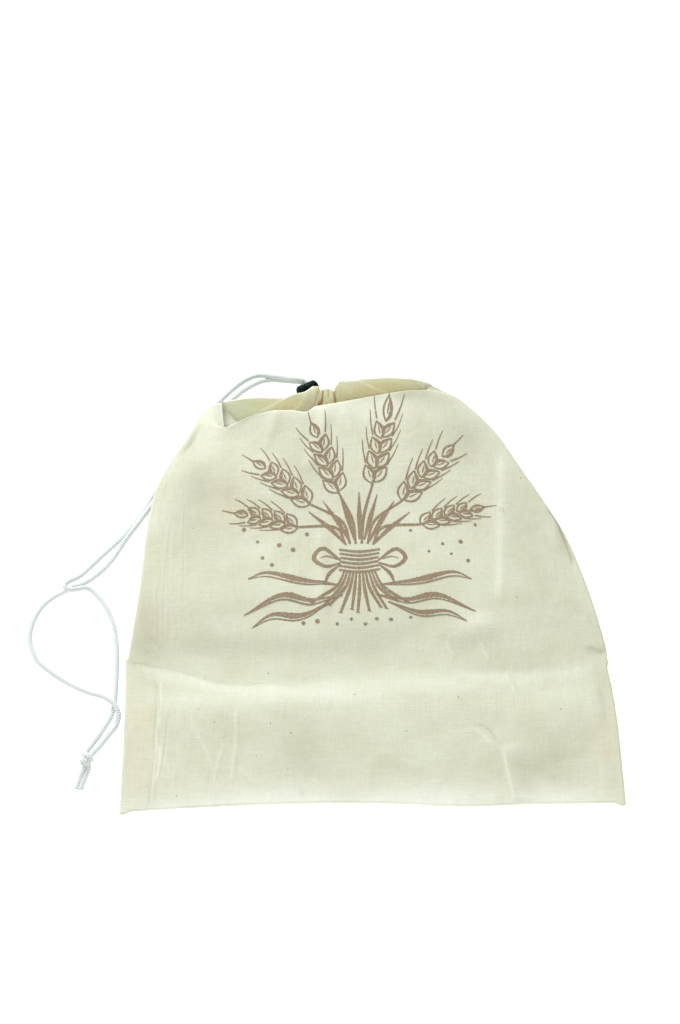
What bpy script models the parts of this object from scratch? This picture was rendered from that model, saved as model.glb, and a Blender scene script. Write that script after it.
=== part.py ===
"""Cotton bread bag, lying on its back with its mouth drawn in by a white cord in a black cord lock.

Sizes are in millimetres until they reach a mesh. The bag's mouth points along +Y, its face along +Z,
and the origin is under the middle of the cloth, on the surface it lies on.
"""
import math

import bmesh
import bpy
import numpy as np
from mathutils import Matrix, Vector

MM = 0.001

# Driving dimensions of the cloth
SHEET = 1.2
SEAM_GAP = 0.3
FRONT_FOLD_RADIUS = 1.5
BACK_FOLD_RADIUS = 0.9
FLAT_SEAM_REACH = 6.0
FLAT_SEAM_RUN = 3.4
SEAM_LIFT = (SHEET + SEAM_GAP) / 2

# The bottom edge rises to the left of its middle and sags a little at two thirds
BOTTOM_RISE = 3.4
BOTTOM_RISE_SHARE = 0.72
BOTTOM_SAG = 1.4
BOTTOM_SAG_AT = 0.66
BOTTOM_SAG_WIDTH = 0.09

# Driving dimensions of the cord and its lock
CORD = 3.0
CORD_SQUEEZED = 2.4
LOCK_DIAMETER = 10.8
LOCK_BORE = 8.5
LOCK_STEM = 8.0
LOCK_TRAVEL = 2.4
LOCK_CLEARANCE = 0.3
LOCK_HOLE_HEIGHT = 5.7
LOCK_HOLE_WIDTH = 3.0
LOCK_BAR = 1.1
LOCK_EDGE = 0.5
LOCK_BASE_SIDE = 1.4
LOCK_BASE_DOME = 3.2
LOCK_HEAD_INSET = 0.5
LOCK_HEAD_SIDE = 1.2
LOCK_HEAD_DOME = 2.9
SLOT_ROUND = 0.45
LOCK_CENTRE = Vector((-44.2, 164.6, 12.6))
LOCK_AXIS = Vector((-0.864, -0.504, 0.0)).normalized()

# Mesh steps across the cloth: round each side fold, along each side tuck, and across the face.
# The face's columns stand closer at both sides, and those of the back crowd into the gathers.
FOLD_STEPS = 4
TUCK_STEPS = 3
FRONT_STEPS = 28
BACK_STEPS = 40
SIDE_CROWDING = 0.085
GATHER_COLUMNS = (0.2, 0.8)

# Outline of the front as it lies, one row for each section from the bottom seam to the mouth.
# left_curl and right_curl say how far the cloth turns under at the side, 0 flat and 1 folded back.
# edge_left, crown and edge_right are heights; the dips bow the section towards the bottom.
FRONT_COLUMNS = (
    "name steps left_x left_y right_x right_y edge_left edge_right crown "
    "rise_left rise_right dip_left dip_right dip_rise left_curl right_curl"
).split()
FRONT = (
    ("bottom", 2, -169.6, -168.0, 170.6, -161.6, 2.1, 2.1, 2.1, 0.50, 0.50, 0.0, 0.0, 0.09, 0.0, 0.0),
    ("lower", 3, -169.6, -148.0, 170.4, -146.0, 2.1, 2.1, 3.9, 0.50, 0.50, 0.0, 0.0, 0.09, 0.0, 0.0),
    ("low", 3, -169.9, -110.0, 169.8, -110.0, 2.1, 2.1, 4.6, 0.50, 0.50, 0.0, 0.0, 0.09, 0.0, 0.0),
    ("under_crease", 2, -170.4, -74.0, 169.0, -77.0, 2.1, 2.1, 5.2, 0.50, 0.50, 0.0, 0.0, 0.09, 0.0, 0.0),
    ("crease", 2, -170.6, -58.0, 168.4, -62.5, 2.1, 2.1, 3.2, 0.50, 0.50, 0.0, 0.0, 0.09, 0.0, 0.0),
    ("over_crease", 3, -168.2, -46.0, 164.0, -49.0, 5.2, 5.4, 6.2, 0.50, 0.50, 0.0, 0.0, 0.09, 0.5, 0.5),
    ("waist", 3, -164.6, -5.0, 155.5, -4.0, 7.4, 7.4, 10.0, 0.50, 0.50, 0.0, 0.0, 0.09, 1.0, 1.0),
    ("belly", 3, -162.2, 37.0, 142.2, 39.5, 7.8, 7.6, 13.0, 0.48, 0.48, 0.0, 0.0, 0.09, 1.0, 1.0),
    ("chest", 3, -159.2, 68.0, 128.5, 68.0, 8.2, 7.8, 16.0, 0.45, 0.45, 1.0, 0.0, 0.09, 1.0, 1.0),
    ("shoulder", 3, -149.5, 98.0, 110.5, 101.0, 8.6, 8.2, 19.5, 0.42, 0.40, 3.0, 0.0, 0.09, 1.0, 1.0),
    ("collar", 3, -137.0, 121.0, 94.0, 130.0, 9.0, 8.8, 22.5, 0.38, 0.33, 8.0, 0.0, 0.09, 1.0, 1.0),
    ("crest", 1, -127.5, 141.0, 66.0, 158.5, 9.8, 11.5, 25.0, 0.30, 0.25, 19.0, -4.0, 0.13, 1.0, 1.0),
    ("brow", 1, -121.0, 148.5, 56.0, 162.4, 11.0, 14.0, 23.8, 0.24, 0.20, 24.5, 0.0, 0.09, 1.0, 1.0),
    ("drop", 2, -116.0, 151.4, 49.0, 165.0, 12.0, 16.5, 18.0, 0.20, 0.18, 24.5, 2.0, 0.06, 1.0, 1.0),
    ("hem", 0, -111.0, 152.6, 45.5, 166.0, 12.5, 17.0, 8.0, 0.16, 0.14, 23.5, 6.0, 0.05, 1.0, 1.0),
)

# Where the crest of the front leaves its even bow, forward being away from the bottom seam
BEND_COLUMNS = "name x forward".split()
CREST_BEND = (
    ("left_corner", -104.0, 0.0),
    ("left_rise", -74.0, 3.4),
    ("flat", -58.0, 0.8),
    ("sag", -46.0, -3.0),
    ("step", -39.0, 0.4),
    ("gathers", -30.0, 0.0),
)

# Outline of the back, section for section. Below the turn it lies flat on the surface.
BACK_COLUMNS = "name steps left_x left_y right_x right_y left_curl right_curl".split()
BACK = (
    ("bottom", 1, -169.6, -168.0, 170.6, -161.6, 0.0, 0.0),
    ("lower", 1, -169.6, -148.0, 170.4, -146.0, 0.0, 0.0),
    ("low", 1, -169.9, -110.0, 169.8, -110.0, 0.0, 0.0),
    ("under_crease", 1, -170.4, -74.0, 169.0, -77.0, 0.0, 0.0),
    ("crease", 2, -170.6, -58.0, 168.4, -62.5, 0.0, 0.0),
    ("over_crease", 3, -167.6, -46.0, 164.0, -49.0, 0.5, 0.5),
    ("waist", 3, -162.5, -5.0, 156.0, -4.0, 1.0, 1.0),
    ("belly", 3, -156.0, 37.0, 143.8, 39.5, 1.0, 1.0),
    ("chest", 3, -149.5, 68.0, 130.5, 68.0, 1.0, 1.0),
    ("shoulder", 2, -139.5, 98.0, 112.0, 101.0, 1.0, 1.0),
    ("collar", 2, -127.0, 121.0, 93.5, 129.0, 1.0, 1.0),
    ("turn", 5, -116.5, 137.0, 64.0, 152.0, 1.0, 1.0),
    ("lip", 0, -107.5, 148.0, 43.0, 161.5, 1.0, 1.0),
)

# Where the two panels are sewn together, for the sections that have a side tuck
SEAM_COLUMNS = "name left_x left_y left_z right_x right_y right_z".split()
SEAM = (
    ("crease", -170.6, -58.0, 1.35, 168.4, -62.5, 1.35),
    ("over_crease", -167.0, -46.0, 2.4, 162.6, -49.0, 2.4),
    ("waist", -156.0, -5.0, 3.7, 142.0, -4.0, 3.7),
    ("belly", -147.0, 37.0, 3.8, 119.0, 39.5, 3.9),
    ("chest", -136.0, 68.0, 4.0, 95.0, 68.0, 4.1),
    ("shoulder", -122.0, 98.0, 4.2, 67.0, 101.0, 4.3),
    ("collar", -105.0, 120.0, 4.6, 45.0, 127.0, 4.8),
    ("crest", -98.0, 136.0, 5.4, 36.0, 146.0, 5.6),
    ("brow", -101.2, 140.0, 6.6, 38.3, 151.2, 7.7),
    ("drop", -104.3, 144.0, 7.8, 40.6, 156.3, 9.7),
    ("hem", -107.5, 148.0, 8.9, 43.0, 161.5, 11.3),
)

# Top edge of the back's hem, from the left seam to the right seam, with the gathers between the wings
LIP_COLUMNS = "name x y z".split()
LIP = (
    ("left_seam", -107.5, 148.0, 4.6),
    ("left_corner", -104.5, 152.6, 12.4),
    ("left_wing", -88.0, 154.0, 16.0),
    ("left_fold", -66.0, 152.7, 18.0),
    ("left_rise", -55.0, 155.4, 20.5),
    ("left_neck", -48.5, 156.0, 21.6),
    ("left_tip", -41.0, 158.4, 24.4),
    ("gather", -32.5, 155.8, 23.6),
    ("notch", -26.5, 155.8, 22.8),
    ("right_tip", -22.0, 161.6, 26.0),
    ("right_fold", -6.0, 164.3, 25.0),
    ("right_wing", 16.0, 167.0, 23.6),
    ("right_shoulder", 32.0, 167.4, 21.6),
    ("right_slope", 40.2, 166.2, 18.4),
    ("right_seam", 43.0, 161.5, 7.6),
)
LIP_CORNER = 2.8
GATHER_LEFT = -42.5
GATHER_RIGHT = -20.5
GATHER_FOLDS = 4
GATHER_DEPTH = 1.9
GATHER_NOTCH = 0.9
GATHER_FADE = 0.12
GATHER_REACH = 0.4
GATHER_RISE = 0.8
TURN_BOW = 2.0
TURN_LEAN = 0.85
TURN_ROUND = 1.7

# Routes of the two free strands over the surface, from the hem through the lock to the knot
STRAND_A = (
    (-40.3, 157.9, 13.95), (-41.8, 160.5, 13.95), (-44.2, 164.6, 13.95), (-47.5, 170.3, 13.9),
    (-51.8, 173.0, 12.4), (-58.6, 175.6, 9.6), (-66.4, 178.8, 6.6), (-75.6, 182.0, 4.0),
    (-85.0, 183.6, 2.0), (-94.4, 179.4, 1.6), (-103.6, 171.2, 1.6), (-114.2, 158.8, 1.6),
    (-124.6, 143.4, 1.6), (-136.2, 122.4, 1.6), (-148.6, 97.8, 1.6), (-158.8, 78.4, 1.6),
    (-165.8, 63.9, 1.6), (-173.0, 49.4, 1.6), (-181.8, 35.6, 1.6), (-192.4, 25.2, 1.6),
    (-202.0, 14.6, 1.6), (-210.2, 7.8, 2.6), (-216.4, 3.8, 4.4), (-220.0, -1.4, 4.9),
    (-218.0, -7.2, 4.9), (-212.4, -9.2, 4.2), (-205.6, -7.0, 2.4), (-199.0, -6.6, 1.6),
    (-190.8, -11.6, 1.6), (-183.6, -23.1, 1.6), (-178.9, -41.2, 1.6), (-177.8, -58.3, 1.6),
    (-177.6, -74.4, 1.6), (-177.5, -85.8, 1.6), (-177.9, -93.3, 1.6), (-179.7, -100.8, 1.6),
    (-183.6, -108.6, 1.6), (-187.4, -115.4, 1.6), (-191.2, -121.6, 2.4), (-193.6, -126.2, 3.6),
)
STRAND_B = (
    (-40.0, 157.4, 11.25), (-41.8, 160.5, 11.25), (-44.2, 164.6, 11.25), (-47.4, 170.1, 11.1),
    (-51.8, 172.8, 9.2), (-58.4, 175.4, 6.2), (-66.2, 178.2, 3.2), (-74.6, 179.8, 1.6),
    (-83.2, 178.0, 1.6), (-92.4, 172.2, 1.6), (-101.0, 164.6, 1.6), (-110.2, 155.2, 1.6),
    (-121.2, 141.0, 1.6), (-132.8, 120.6, 1.6), (-145.4, 96.2, 1.6), (-156.0, 76.2, 1.7),
    (-163.4, 62.4, 3.2), (-170.8, 48.2, 4.2), (-176.0, 38.0, 3.4), (-182.8, 26.0, 1.6),
    (-191.0, 15.4, 1.6), (-200.0, 7.4, 1.6), (-208.2, 1.6, 1.6), (-217.6, -4.2, 1.6),
    (-227.4, -10.4, 1.6), (-235.0, -18.9, 1.6), (-239.6, -31.0, 1.6), (-240.4, -43.6, 1.6),
    (-235.4, -57.6, 1.6), (-224.0, -68.3, 1.6), (-209.4, -76.0, 1.6), (-195.6, -81.2, 2.6),
    (-184.6, -86.6, 4.4), (-177.4, -92.2, 4.8), (-173.9, -99.0, 3.6), (-175.3, -106.2, 1.7),
    (-179.6, -113.2, 1.6), (-184.0, -119.6, 1.6), (-187.4, -124.4, 2.2), (-189.9, -128.0, 3.2),
)
# A point of a cord's spline stands where the cord has run this far or turned this much since the last one.
# The first reaches of both strands, as many as PASSAGE_REACHES, lie straight in the lock.
CORD_STEP = 15.0
CORD_TURN = math.radians(60)
ROUTE_SAMPLES = 10
PASSAGE_REACHES = 3
KNOT_CENTRE = Vector((-193.4, -132.6, 4.6))
KNOT_RADII = Vector((4.4, 5.4, 4.3))
KNOT_TURN = math.radians(-25)
KNOT_LOBE = 0.10
KNOT_LOBES = 3
KNOT_TWIST = 2.6
TAIL_A = ((-195.2, -138.6, 3.2), (-197.2, -143.0, 2.0), (-198.6, -148.0, 1.6), (-199.6, -152.6, 1.6))
TAIL_B = ((-191.8, -139.2, 3.2), (-193.5, -143.8, 2.0), (-195.2, -148.6, 1.6), (-196.0, -153.0, 1.6))


def column(table, columns, name):
    """One named column of a table."""
    place = columns.index(name)
    return np.array([row[place] for row in table], float)


def smooth(values, at):
    """A curve through evenly numbered values that never overshoots them."""
    steps = np.diff(values)
    slopes = np.zeros(len(values))
    same_way = steps[:-1] * steps[1:] > 0
    products = (steps[:-1] * steps[1:])[same_way]
    sums = (steps[:-1] + steps[1:])[same_way]
    slopes[1:-1][same_way] = 2 * products / sums
    slopes[0] = steps[0]
    slopes[-1] = steps[-1]
    first = np.clip(np.floor(at).astype(int), 0, len(values) - 2)
    part = at - first
    low, high = values[first], values[first + 1]
    return (
        low * (1 + 2 * part) * (1 - part) ** 2
        + slopes[first] * part * (1 - part) ** 2
        + high * part**2 * (3 - 2 * part)
        + slopes[first + 1] * part**2 * (part - 1)
    )


def smooth_along(table, columns, x_name, y_name, x):
    """A column of a table against another one, read at x without overshoot."""
    xs = column(table, columns, x_name)
    return smooth(column(table, columns, y_name), np.interp(x, xs, np.arange(len(xs))))


def mix(low, high, part):
    return low + (high - low) * part


def ease(part):
    """0 to 1, quick at first and level at the end."""
    return np.sin(np.clip(part, 0, 1) * math.pi / 2)


def soft_step(part):
    part = np.clip(part, 0, 1)
    return part * part * (3 - 2 * part)


def stations(table, columns):
    """Section numbers of the mesh rows, from the steps that the table gives."""
    at = [0.0]
    for number, steps in enumerate(column(table, columns, "steps")[:-1]):
        at.extend(number + (step + 1) / steps for step in range(int(steps)))
    return np.array(at)


def section_number(table, name):
    return [row[0] for row in table].index(name)


def outward(left_x, left_y, right_x, right_y):
    """Unit directions in plan, square to the outline, away from the cloth on each side."""
    directions = []
    for x, y, side in ((left_x, left_y, -1), (right_x, right_y, 1)):
        along = np.stack([np.gradient(x), np.gradient(y)], 1)
        along /= np.linalg.norm(along, axis=1)[:, None]
        directions.append(side * np.stack([along[:, 1], -along[:, 0]], 1))
    return directions


def seam_points(outline, names, side):
    """The sewn line on one side: the outline itself, and the seam table where the cloth turns under."""
    x, y = outline
    z = np.full(len(names), SEAM_LIFT + SHEET / 2)
    points = np.stack([x, y, z], 1)
    sewn = [row[0] for row in SEAM]
    for number, name in enumerate(names):
        known = {"turn": "crest", "lip": "hem"}.get(name, name)
        if known in sewn:
            row = SEAM[sewn.index(known)]
            points[number] = [row[SEAM_COLUMNS.index(side + axis)] for axis in ("_x", "_y", "_z")]
    return points


def side_run(edge, out, curl, radius, turn, seam):
    """Points of one side of a section, from the face round its fold and along the tuck to the seam."""
    angle = math.pi * curl
    run = FLAT_SEAM_RUN * (1 - curl)
    length = run + angle * radius
    points = []
    for step in range(1, FOLD_STEPS + 1):
        gone = length * step / FOLD_STEPS
        bent = max(0.0, gone - run) / radius
        reach = min(gone, run) + radius * math.sin(bent)
        lift = turn * radius * (1 - math.cos(bent))
        points.append([edge[0] + out[0] * reach, edge[1] + out[1] * reach, edge[2] + lift])
    start = np.array(points[-1])
    for step in range(1, TUCK_STEPS + 1):
        points.append(mix(start, seam, step / TUCK_STEPS))
    return np.array(points)


def panel_sections(face_row, table, columns, radius, turn, steps, shares):
    """Rows of points across a whole panel, seam to seam, one row for each station."""
    at = stations(table, columns)
    names = [row[0] for row in table]
    outline = {name: smooth(column(table, columns, name), at) for name in columns[2:6]}
    curls = [smooth(column(table, columns, name), at) for name in ("left_curl", "right_curl")]
    outs = outward(*(outline[name] for name in columns[2:6]))
    rows = []
    ends = []
    for side, (x_name, y_name) in zip(("left", "right"), (columns[2:4], columns[4:6])):
        known = seam_points(
            (column(table, columns, x_name), column(table, columns, y_name)), names, side
        )
        ends.append(np.stack([smooth(known[:, axis], at) for axis in range(3)], 1))
    for number, station in enumerate(at):
        edges = []
        for x_name, y_name, out, curl in (
            (columns[2], columns[3], outs[0], curls[0]),
            (columns[4], columns[5], outs[1], curls[1]),
        ):
            reach = mix(FLAT_SEAM_REACH, radius, curl[number])
            corner = np.array([outline[x_name][number], outline[y_name][number]])
            edges.append(corner - out[number] * reach)
        face = face_row(station, edges[0], edges[1], shares(station, steps))
        sides = []
        for which, corner in ((0, face[0]), (1, face[-1])):
            seam = ends[which][number] - np.array([0, 0, turn * SEAM_LIFT])
            sides.append(side_run(corner, outs[which][number], curls[which][number], radius, turn, seam))
        rows.append(np.concatenate([sides[0][::-1], face, sides[1]]))
    return np.array(rows)


def bottom_wave(part):
    """How far the bottom edge leaves a straight line: it rises in the middle and sags at two thirds."""
    rise = BOTTOM_RISE * np.sin(math.pi * np.clip(part / BOTTOM_RISE_SHARE, 0, 1))
    return rise - BOTTOM_SAG * np.exp(-(((part - BOTTOM_SAG_AT) / BOTTOM_SAG_WIDTH) ** 2))


def front_face(station, left, right, part):
    """The front's face across one section, from its left fold to its right fold."""
    read = {name: smooth(column(FRONT, FRONT_COLUMNS, name), station) for name in FRONT_COLUMNS[6:]}
    x = mix(left[0], right[0], part)
    y = mix(left[1], right[1], part)
    dip_ends = ease(part / read["dip_rise"]) * ease((1 - part) / read["dip_rise"])
    y = y - mix(read["dip_left"], read["dip_right"], part) * dip_ends
    bend = soft_step(station - section_number(FRONT, "collar"))
    y = y + bend * smooth_along(CREST_BEND, BEND_COLUMNS, "x", "forward", x)
    y = y + bottom_wave(part) * soft_step(1 - station)
    hump = ease(part / read["rise_left"]) * ease((1 - part) / read["rise_right"])
    edge = mix(read["edge_left"], read["edge_right"], part)
    z = edge + (read["crown"] - edge) * hump
    return np.stack([x, y, z], 1)


def even_shares(station, steps):
    """Shares of the face's width, a little closer at both ends."""
    part = np.linspace(0, 1, steps + 1)
    return part - SIDE_CROWDING * np.sin(2 * math.pi * part)


def gathered_shares(station, steps):
    """Even shares low down, and most of the cloth in the gathers at the mouth."""
    part = np.linspace(0, 1, steps + 1)
    even = even_shares(station, steps)
    lip_x = column(LIP, LIP_COLUMNS, "x")
    width = lip_x[-1] - lip_x[0]
    corner = LIP_CORNER / width
    low = (GATHER_LEFT - lip_x[0]) / width
    high = (GATHER_RIGHT - lip_x[0]) / width
    known = (0, 1 / steps, *GATHER_COLUMNS, 1 - 1 / steps, 1)
    gathered = np.interp(part, known, (0, corner, low, high, 1 - corner, 1))
    start = section_number(BACK, "shoulder")
    end = section_number(BACK, "turn") + GATHER_REACH
    return mix(even, gathered, soft_step((station - start) / (end - start)))


def back_face(station, left, right, part):
    """The back's face across one section: flat, then turned up into the hem that stands behind the front."""
    x = mix(left[0], right[0], part)
    y = mix(left[1], right[1], part)
    y = y + bottom_wave(part) * soft_step(1 - station)
    z = np.full(len(x), SHEET / 2)
    turn = section_number(BACK, "turn")
    if station > turn:
        risen = station - turn
        lip_y = smooth_along(LIP, LIP_COLUMNS, "x", "y", x)
        lip_z = smooth_along(LIP, LIP_COLUMNS, "x", "z", x)
        turn_left_y = column(BACK, BACK_COLUMNS, "left_y")[turn]
        turn_right_y = column(BACK, BACK_COLUMNS, "right_y")[turn]
        turn_y = mix(turn_left_y, turn_right_y, part) + TURN_BOW * np.sin(math.pi * part)
        y = mix(turn_y, lip_y, risen**TURN_LEAN)
        z = mix(z, lip_z, risen**TURN_ROUND)
        across = (x - GATHER_LEFT) / (GATHER_RIGHT - GATHER_LEFT)
        inside = soft_step(across / GATHER_FADE) * soft_step((1 - across) / GATHER_FADE)
        wave = np.sin(2 * math.pi * GATHER_FOLDS * across)
        y = y + GATHER_DEPTH * inside * wave * soft_step(risen / GATHER_RISE)
        z = z - GATHER_NOTCH * inside * (1 + wave) / 2 * risen
    return np.stack([x, y, z], 1)


def new_object(name, mesh, finish, place):
    obj = bpy.data.objects.new(name, mesh)
    if finish:
        obj.data.materials.append(finish)
    place.objects.link(obj)
    return obj


def material(name, colour, roughness):
    made = bpy.data.materials.new(name)
    made.use_nodes = True
    shader = made.node_tree.nodes["Principled BSDF"]
    shader.inputs["Base Color"].default_value = (*colour, 1)
    shader.inputs["Roughness"].default_value = roughness
    shader.inputs["Metallic"].default_value = 0.0
    made.diffuse_color = (*colour, 1)
    return made


def cloth_panel(name, rows, finish, place):
    """A lofted sheet through the sections, given its thickness by Solidify."""
    build = bmesh.new()
    grid = [[build.verts.new(Vector(point) * MM) for point in row] for row in rows]
    for low, high in zip(grid[:-1], grid[1:]):
        for place_in_row in range(len(low) - 1):
            build.faces.new(
                (low[place_in_row], low[place_in_row + 1], high[place_in_row + 1], high[place_in_row])
            )
    mesh = bpy.data.meshes.new(name)
    build.to_mesh(mesh)
    build.free()
    mesh.shade_smooth()
    panel = new_object(name, mesh, finish, place)
    thicken = panel.modifiers.new("thickness", "SOLIDIFY")
    thicken.thickness = SHEET * MM
    thicken.offset = 0.0
    return panel


def through_points(points, samples):
    """A smooth curve through route points, with a number of samples for each reach between two of them."""
    route = [Vector(point) for point in points]
    route = [2 * route[0] - route[1]] + route + [2 * route[-1] - route[-2]]
    curve = []
    for number in range(1, len(route) - 2):
        before, start, end, after = route[number - 1 : number + 3]
        for step in range(samples):
            part = step / samples
            curve.append(
                0.5
                * (
                    2 * start
                    + (end - before) * part
                    + (2 * before - 5 * start + 4 * end - after) * part**2
                    + (3 * start - before - 3 * end + after) * part**3
                )
            )
    curve.append(route[-2])
    return curve


def laid_out(points, passage=0):
    """The points of a cord's spline, read from the smooth curve through its route, closer in its bends."""
    fine = through_points(points, ROUTE_SAMPLES)
    gone = [0.0]
    for number in range(1, len(fine)):
        reach = fine[number] - fine[number - 1]
        before = reach if number == 1 else fine[number - 1] - fine[number - 2]
        gone.append(gone[-1] + reach.length / CORD_STEP + before.angle(reach) / CORD_TURN)
    free = gone[passage * ROUTE_SAMPLES]
    wanted = np.linspace(free, gone[-1], math.ceil(gone[-1] - free) + 1)
    if passage:
        wanted = np.concatenate([[0.0], wanted])
    axes = [np.interp(wanted, gone, [point[axis] for point in fine]) for axis in range(3)]
    return [Vector(point) for point in zip(*axes)]


def cord_tube(name, points, finish, place, passage=0):
    """A round cord along its route, squeezed where it lies in the lock."""
    curve = bpy.data.curves.new(name, "CURVE")
    curve.dimensions = "3D"
    curve.bevel_depth = CORD / 2 * MM
    curve.bevel_resolution = 2
    curve.use_fill_caps = True
    line = laid_out(points, passage)
    spline = curve.splines.new("POLY")
    spline.points.add(len(line) - 1)
    for spline_point, point in zip(spline.points, line):
        spline_point.co = (*(point * MM), 1)
        in_lock = (point - LOCK_CENTRE).length < LOCK_DIAMETER
        spline_point.radius = CORD_SQUEEZED / CORD if in_lock else 1.0
    curve.materials.append(finish)
    tube = bpy.data.objects.new(name, curve)
    place.objects.link(tube)
    return tube


def turned(name, profile, finish, place, steps=24):
    """A solid turned round Z from a profile of (radius, height) pairs."""
    mesh = bpy.data.meshes.new(name)
    build = bmesh.new()
    points = [build.verts.new((radius * MM, 0, height * MM)) for radius, height in profile]
    for low, high in zip(points[:-1], points[1:]):
        build.edges.new((low, high))
    build.to_mesh(mesh)
    build.free()
    obj = new_object(name, mesh, finish, place)
    screw = obj.modifiers.new("turn", "SCREW")
    screw.axis = "Z"
    screw.steps = steps
    screw.render_steps = steps
    screw.use_merge_vertices = True
    screw.merge_threshold = 0.00001
    screw.use_smooth_shade = True
    return obj


def slot_cutter(name, width, height, low, high, place):
    """A bar along X, with rounded ends up and down, that cuts the way for the two strands."""
    build = bmesh.new()
    bmesh.ops.create_cube(build, size=1)
    bmesh.ops.scale(
        build, vec=Vector((4 * LOCK_DIAMETER, height, high - low)) * MM, verts=build.verts
    )
    bmesh.ops.translate(build, vec=Vector((0, 0, (low + high) / 2)) * MM, verts=build.verts)
    long_edges = [
        edge
        for edge in build.edges
        if abs(edge.verts[0].co.x - edge.verts[1].co.x) > 2 * LOCK_DIAMETER * MM
    ]
    bmesh.ops.bevel(
        build, geom=long_edges, offset=SLOT_ROUND * width * MM, segments=3, profile=0.5, affect="EDGES"
    )
    mesh = bpy.data.meshes.new(name)
    build.to_mesh(mesh)
    build.free()
    cutter = new_object(name, mesh, None, place)
    cutter.hide_render = True
    cutter.display_type = "WIRE"
    return cutter


def cut(obj, cutter):
    boolean = obj.modifiers.new("cut", "BOOLEAN")
    boolean.operation = "DIFFERENCE"
    boolean.object = cutter
    boolean.solver = "EXACT"


def dome(radius, base, rise, steps=5):
    """Profile points of a domed end, from the axis out to its full radius."""
    angles = [math.pi / 2 * step / steps for step in range(steps + 1)]
    return [(radius * math.sin(angle), base + rise * math.cos(angle)) for angle in angles]


def lock_frame():
    """Local Z along the lock towards its button, and local X along the strands."""
    up = Vector((0, 0, 1))
    strands = up.cross(LOCK_AXIS).normalized()
    turn = Matrix((strands, LOCK_AXIS.cross(strands), LOCK_AXIS)).transposed()
    return Matrix.Translation(LOCK_CENTRE * MM) @ turn.to_4x4()


def cord_lock(plastic, button_plastic, place, cutters):
    """The lock's body, a domed cup with a cross hole, and its button, a slotted stem with a domed head."""
    half_hole = LOCK_HOLE_WIDTH / 2
    slot_top = half_hole + LOCK_TRAVEL
    rim = slot_top
    stem_end = -half_hole - LOCK_BAR
    floor = stem_end - LOCK_TRAVEL - LOCK_CLEARANCE
    radius = LOCK_DIAMETER / 2
    bore = LOCK_BORE / 2
    body_profile = dome(radius, floor + LOCK_BASE_SIDE, -LOCK_BASE_DOME)
    body_profile += [(radius, rim - LOCK_EDGE), (radius - LOCK_EDGE, rim)]
    body_profile += [(bore, rim), (bore, floor), (0, floor)]
    body = turned("lock_body", body_profile, plastic, place)
    stem = LOCK_STEM / 2
    head_low = rim + LOCK_TRAVEL + LOCK_CLEARANCE
    head = radius - LOCK_HEAD_INSET
    button_profile = dome(head, head_low + LOCK_HEAD_SIDE, LOCK_HEAD_DOME)
    button_profile += [(head, head_low), (stem, head_low), (stem, stem_end), (0, stem_end)]
    button = turned("lock_button", button_profile, button_plastic, place)
    body_slot = slot_cutter(
        "body_slot", LOCK_HOLE_WIDTH, LOCK_HOLE_HEIGHT, -half_hole, half_hole, cutters
    )
    button_slot = slot_cutter(
        "button_slot", LOCK_HOLE_WIDTH, LOCK_HOLE_HEIGHT, -half_hole, slot_top, cutters
    )
    cut(body, body_slot)
    cut(button, button_slot)
    for obj in (body, button, body_slot, button_slot):
        obj.matrix_world = lock_frame()
    return body, button


def knot(finish, place):
    """The tight overhand knot, a small round lump with the lobes of its turns."""
    build = bmesh.new()
    bmesh.ops.create_uvsphere(build, u_segments=20, v_segments=12, radius=1)
    for vert in build.verts:
        around = math.atan2(vert.co.z, vert.co.x)
        swell = 1 + KNOT_LOBE * math.cos(KNOT_LOBES * around + KNOT_TWIST * vert.co.y)
        vert.co = Vector(size * value for size, value in zip(KNOT_RADII, vert.co)) * swell * MM
    mesh = bpy.data.meshes.new("cord_knot")
    build.to_mesh(mesh)
    build.free()
    mesh.shade_smooth()
    obj = new_object("cord_knot", mesh, finish, place)
    obj.matrix_world = Matrix.Translation(KNOT_CENTRE * MM) @ Matrix.Rotation(KNOT_TURN, 4, "Z")
    return obj


def collection(name):
    made = bpy.data.collections.new(name)
    bpy.context.scene.collection.children.link(made)
    return made


def main():
    for obj in list(bpy.data.objects):
        bpy.data.objects.remove(obj, do_unlink=True)
    parts = collection("bread_bag")
    cutters = collection("cutters")
    cutters.hide_render = True
    cotton = material("unbleached_cotton", (0.86, 0.82, 0.68), 0.9)
    cotton_back = material("unbleached_cotton_back", (0.84, 0.79, 0.63), 0.9)
    braid = material("white_braid", (0.86, 0.90, 0.88), 0.6)
    plastic = material("black_plastic", (0.015, 0.017, 0.018), 0.35)
    button_plastic = material("black_plastic_button", (0.02, 0.02, 0.022), 0.4)
    front = panel_sections(
        front_face, FRONT, FRONT_COLUMNS, FRONT_FOLD_RADIUS, -1, FRONT_STEPS, even_shares
    )
    back = panel_sections(
        back_face, BACK, BACK_COLUMNS, BACK_FOLD_RADIUS, 1, BACK_STEPS, gathered_shares
    )
    cloth_panel("front_panel", front, cotton, parts)
    cloth_panel("back_panel", back, cotton_back, parts)
    cord_lock(plastic, button_plastic, parts, cutters)
    cord_tube("cord_strand_a", STRAND_A, braid, parts, PASSAGE_REACHES)
    cord_tube("cord_strand_b", STRAND_B, braid, parts, PASSAGE_REACHES)
    knot(braid, parts)
    cord_tube("cord_tail_a", TAIL_A, braid, parts)
    cord_tube("cord_tail_b", TAIL_B, braid, parts)


main()
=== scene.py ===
"""Cotton bread bag as photographed: thin cloth with its folds, creases and print, braided cord,
lock and knot.

Tables are in millimetres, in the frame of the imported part. Meshes are written in metres.
"""
import math

import bmesh
import bpy
import numpy as np
from mathutils import Matrix, Vector


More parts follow.
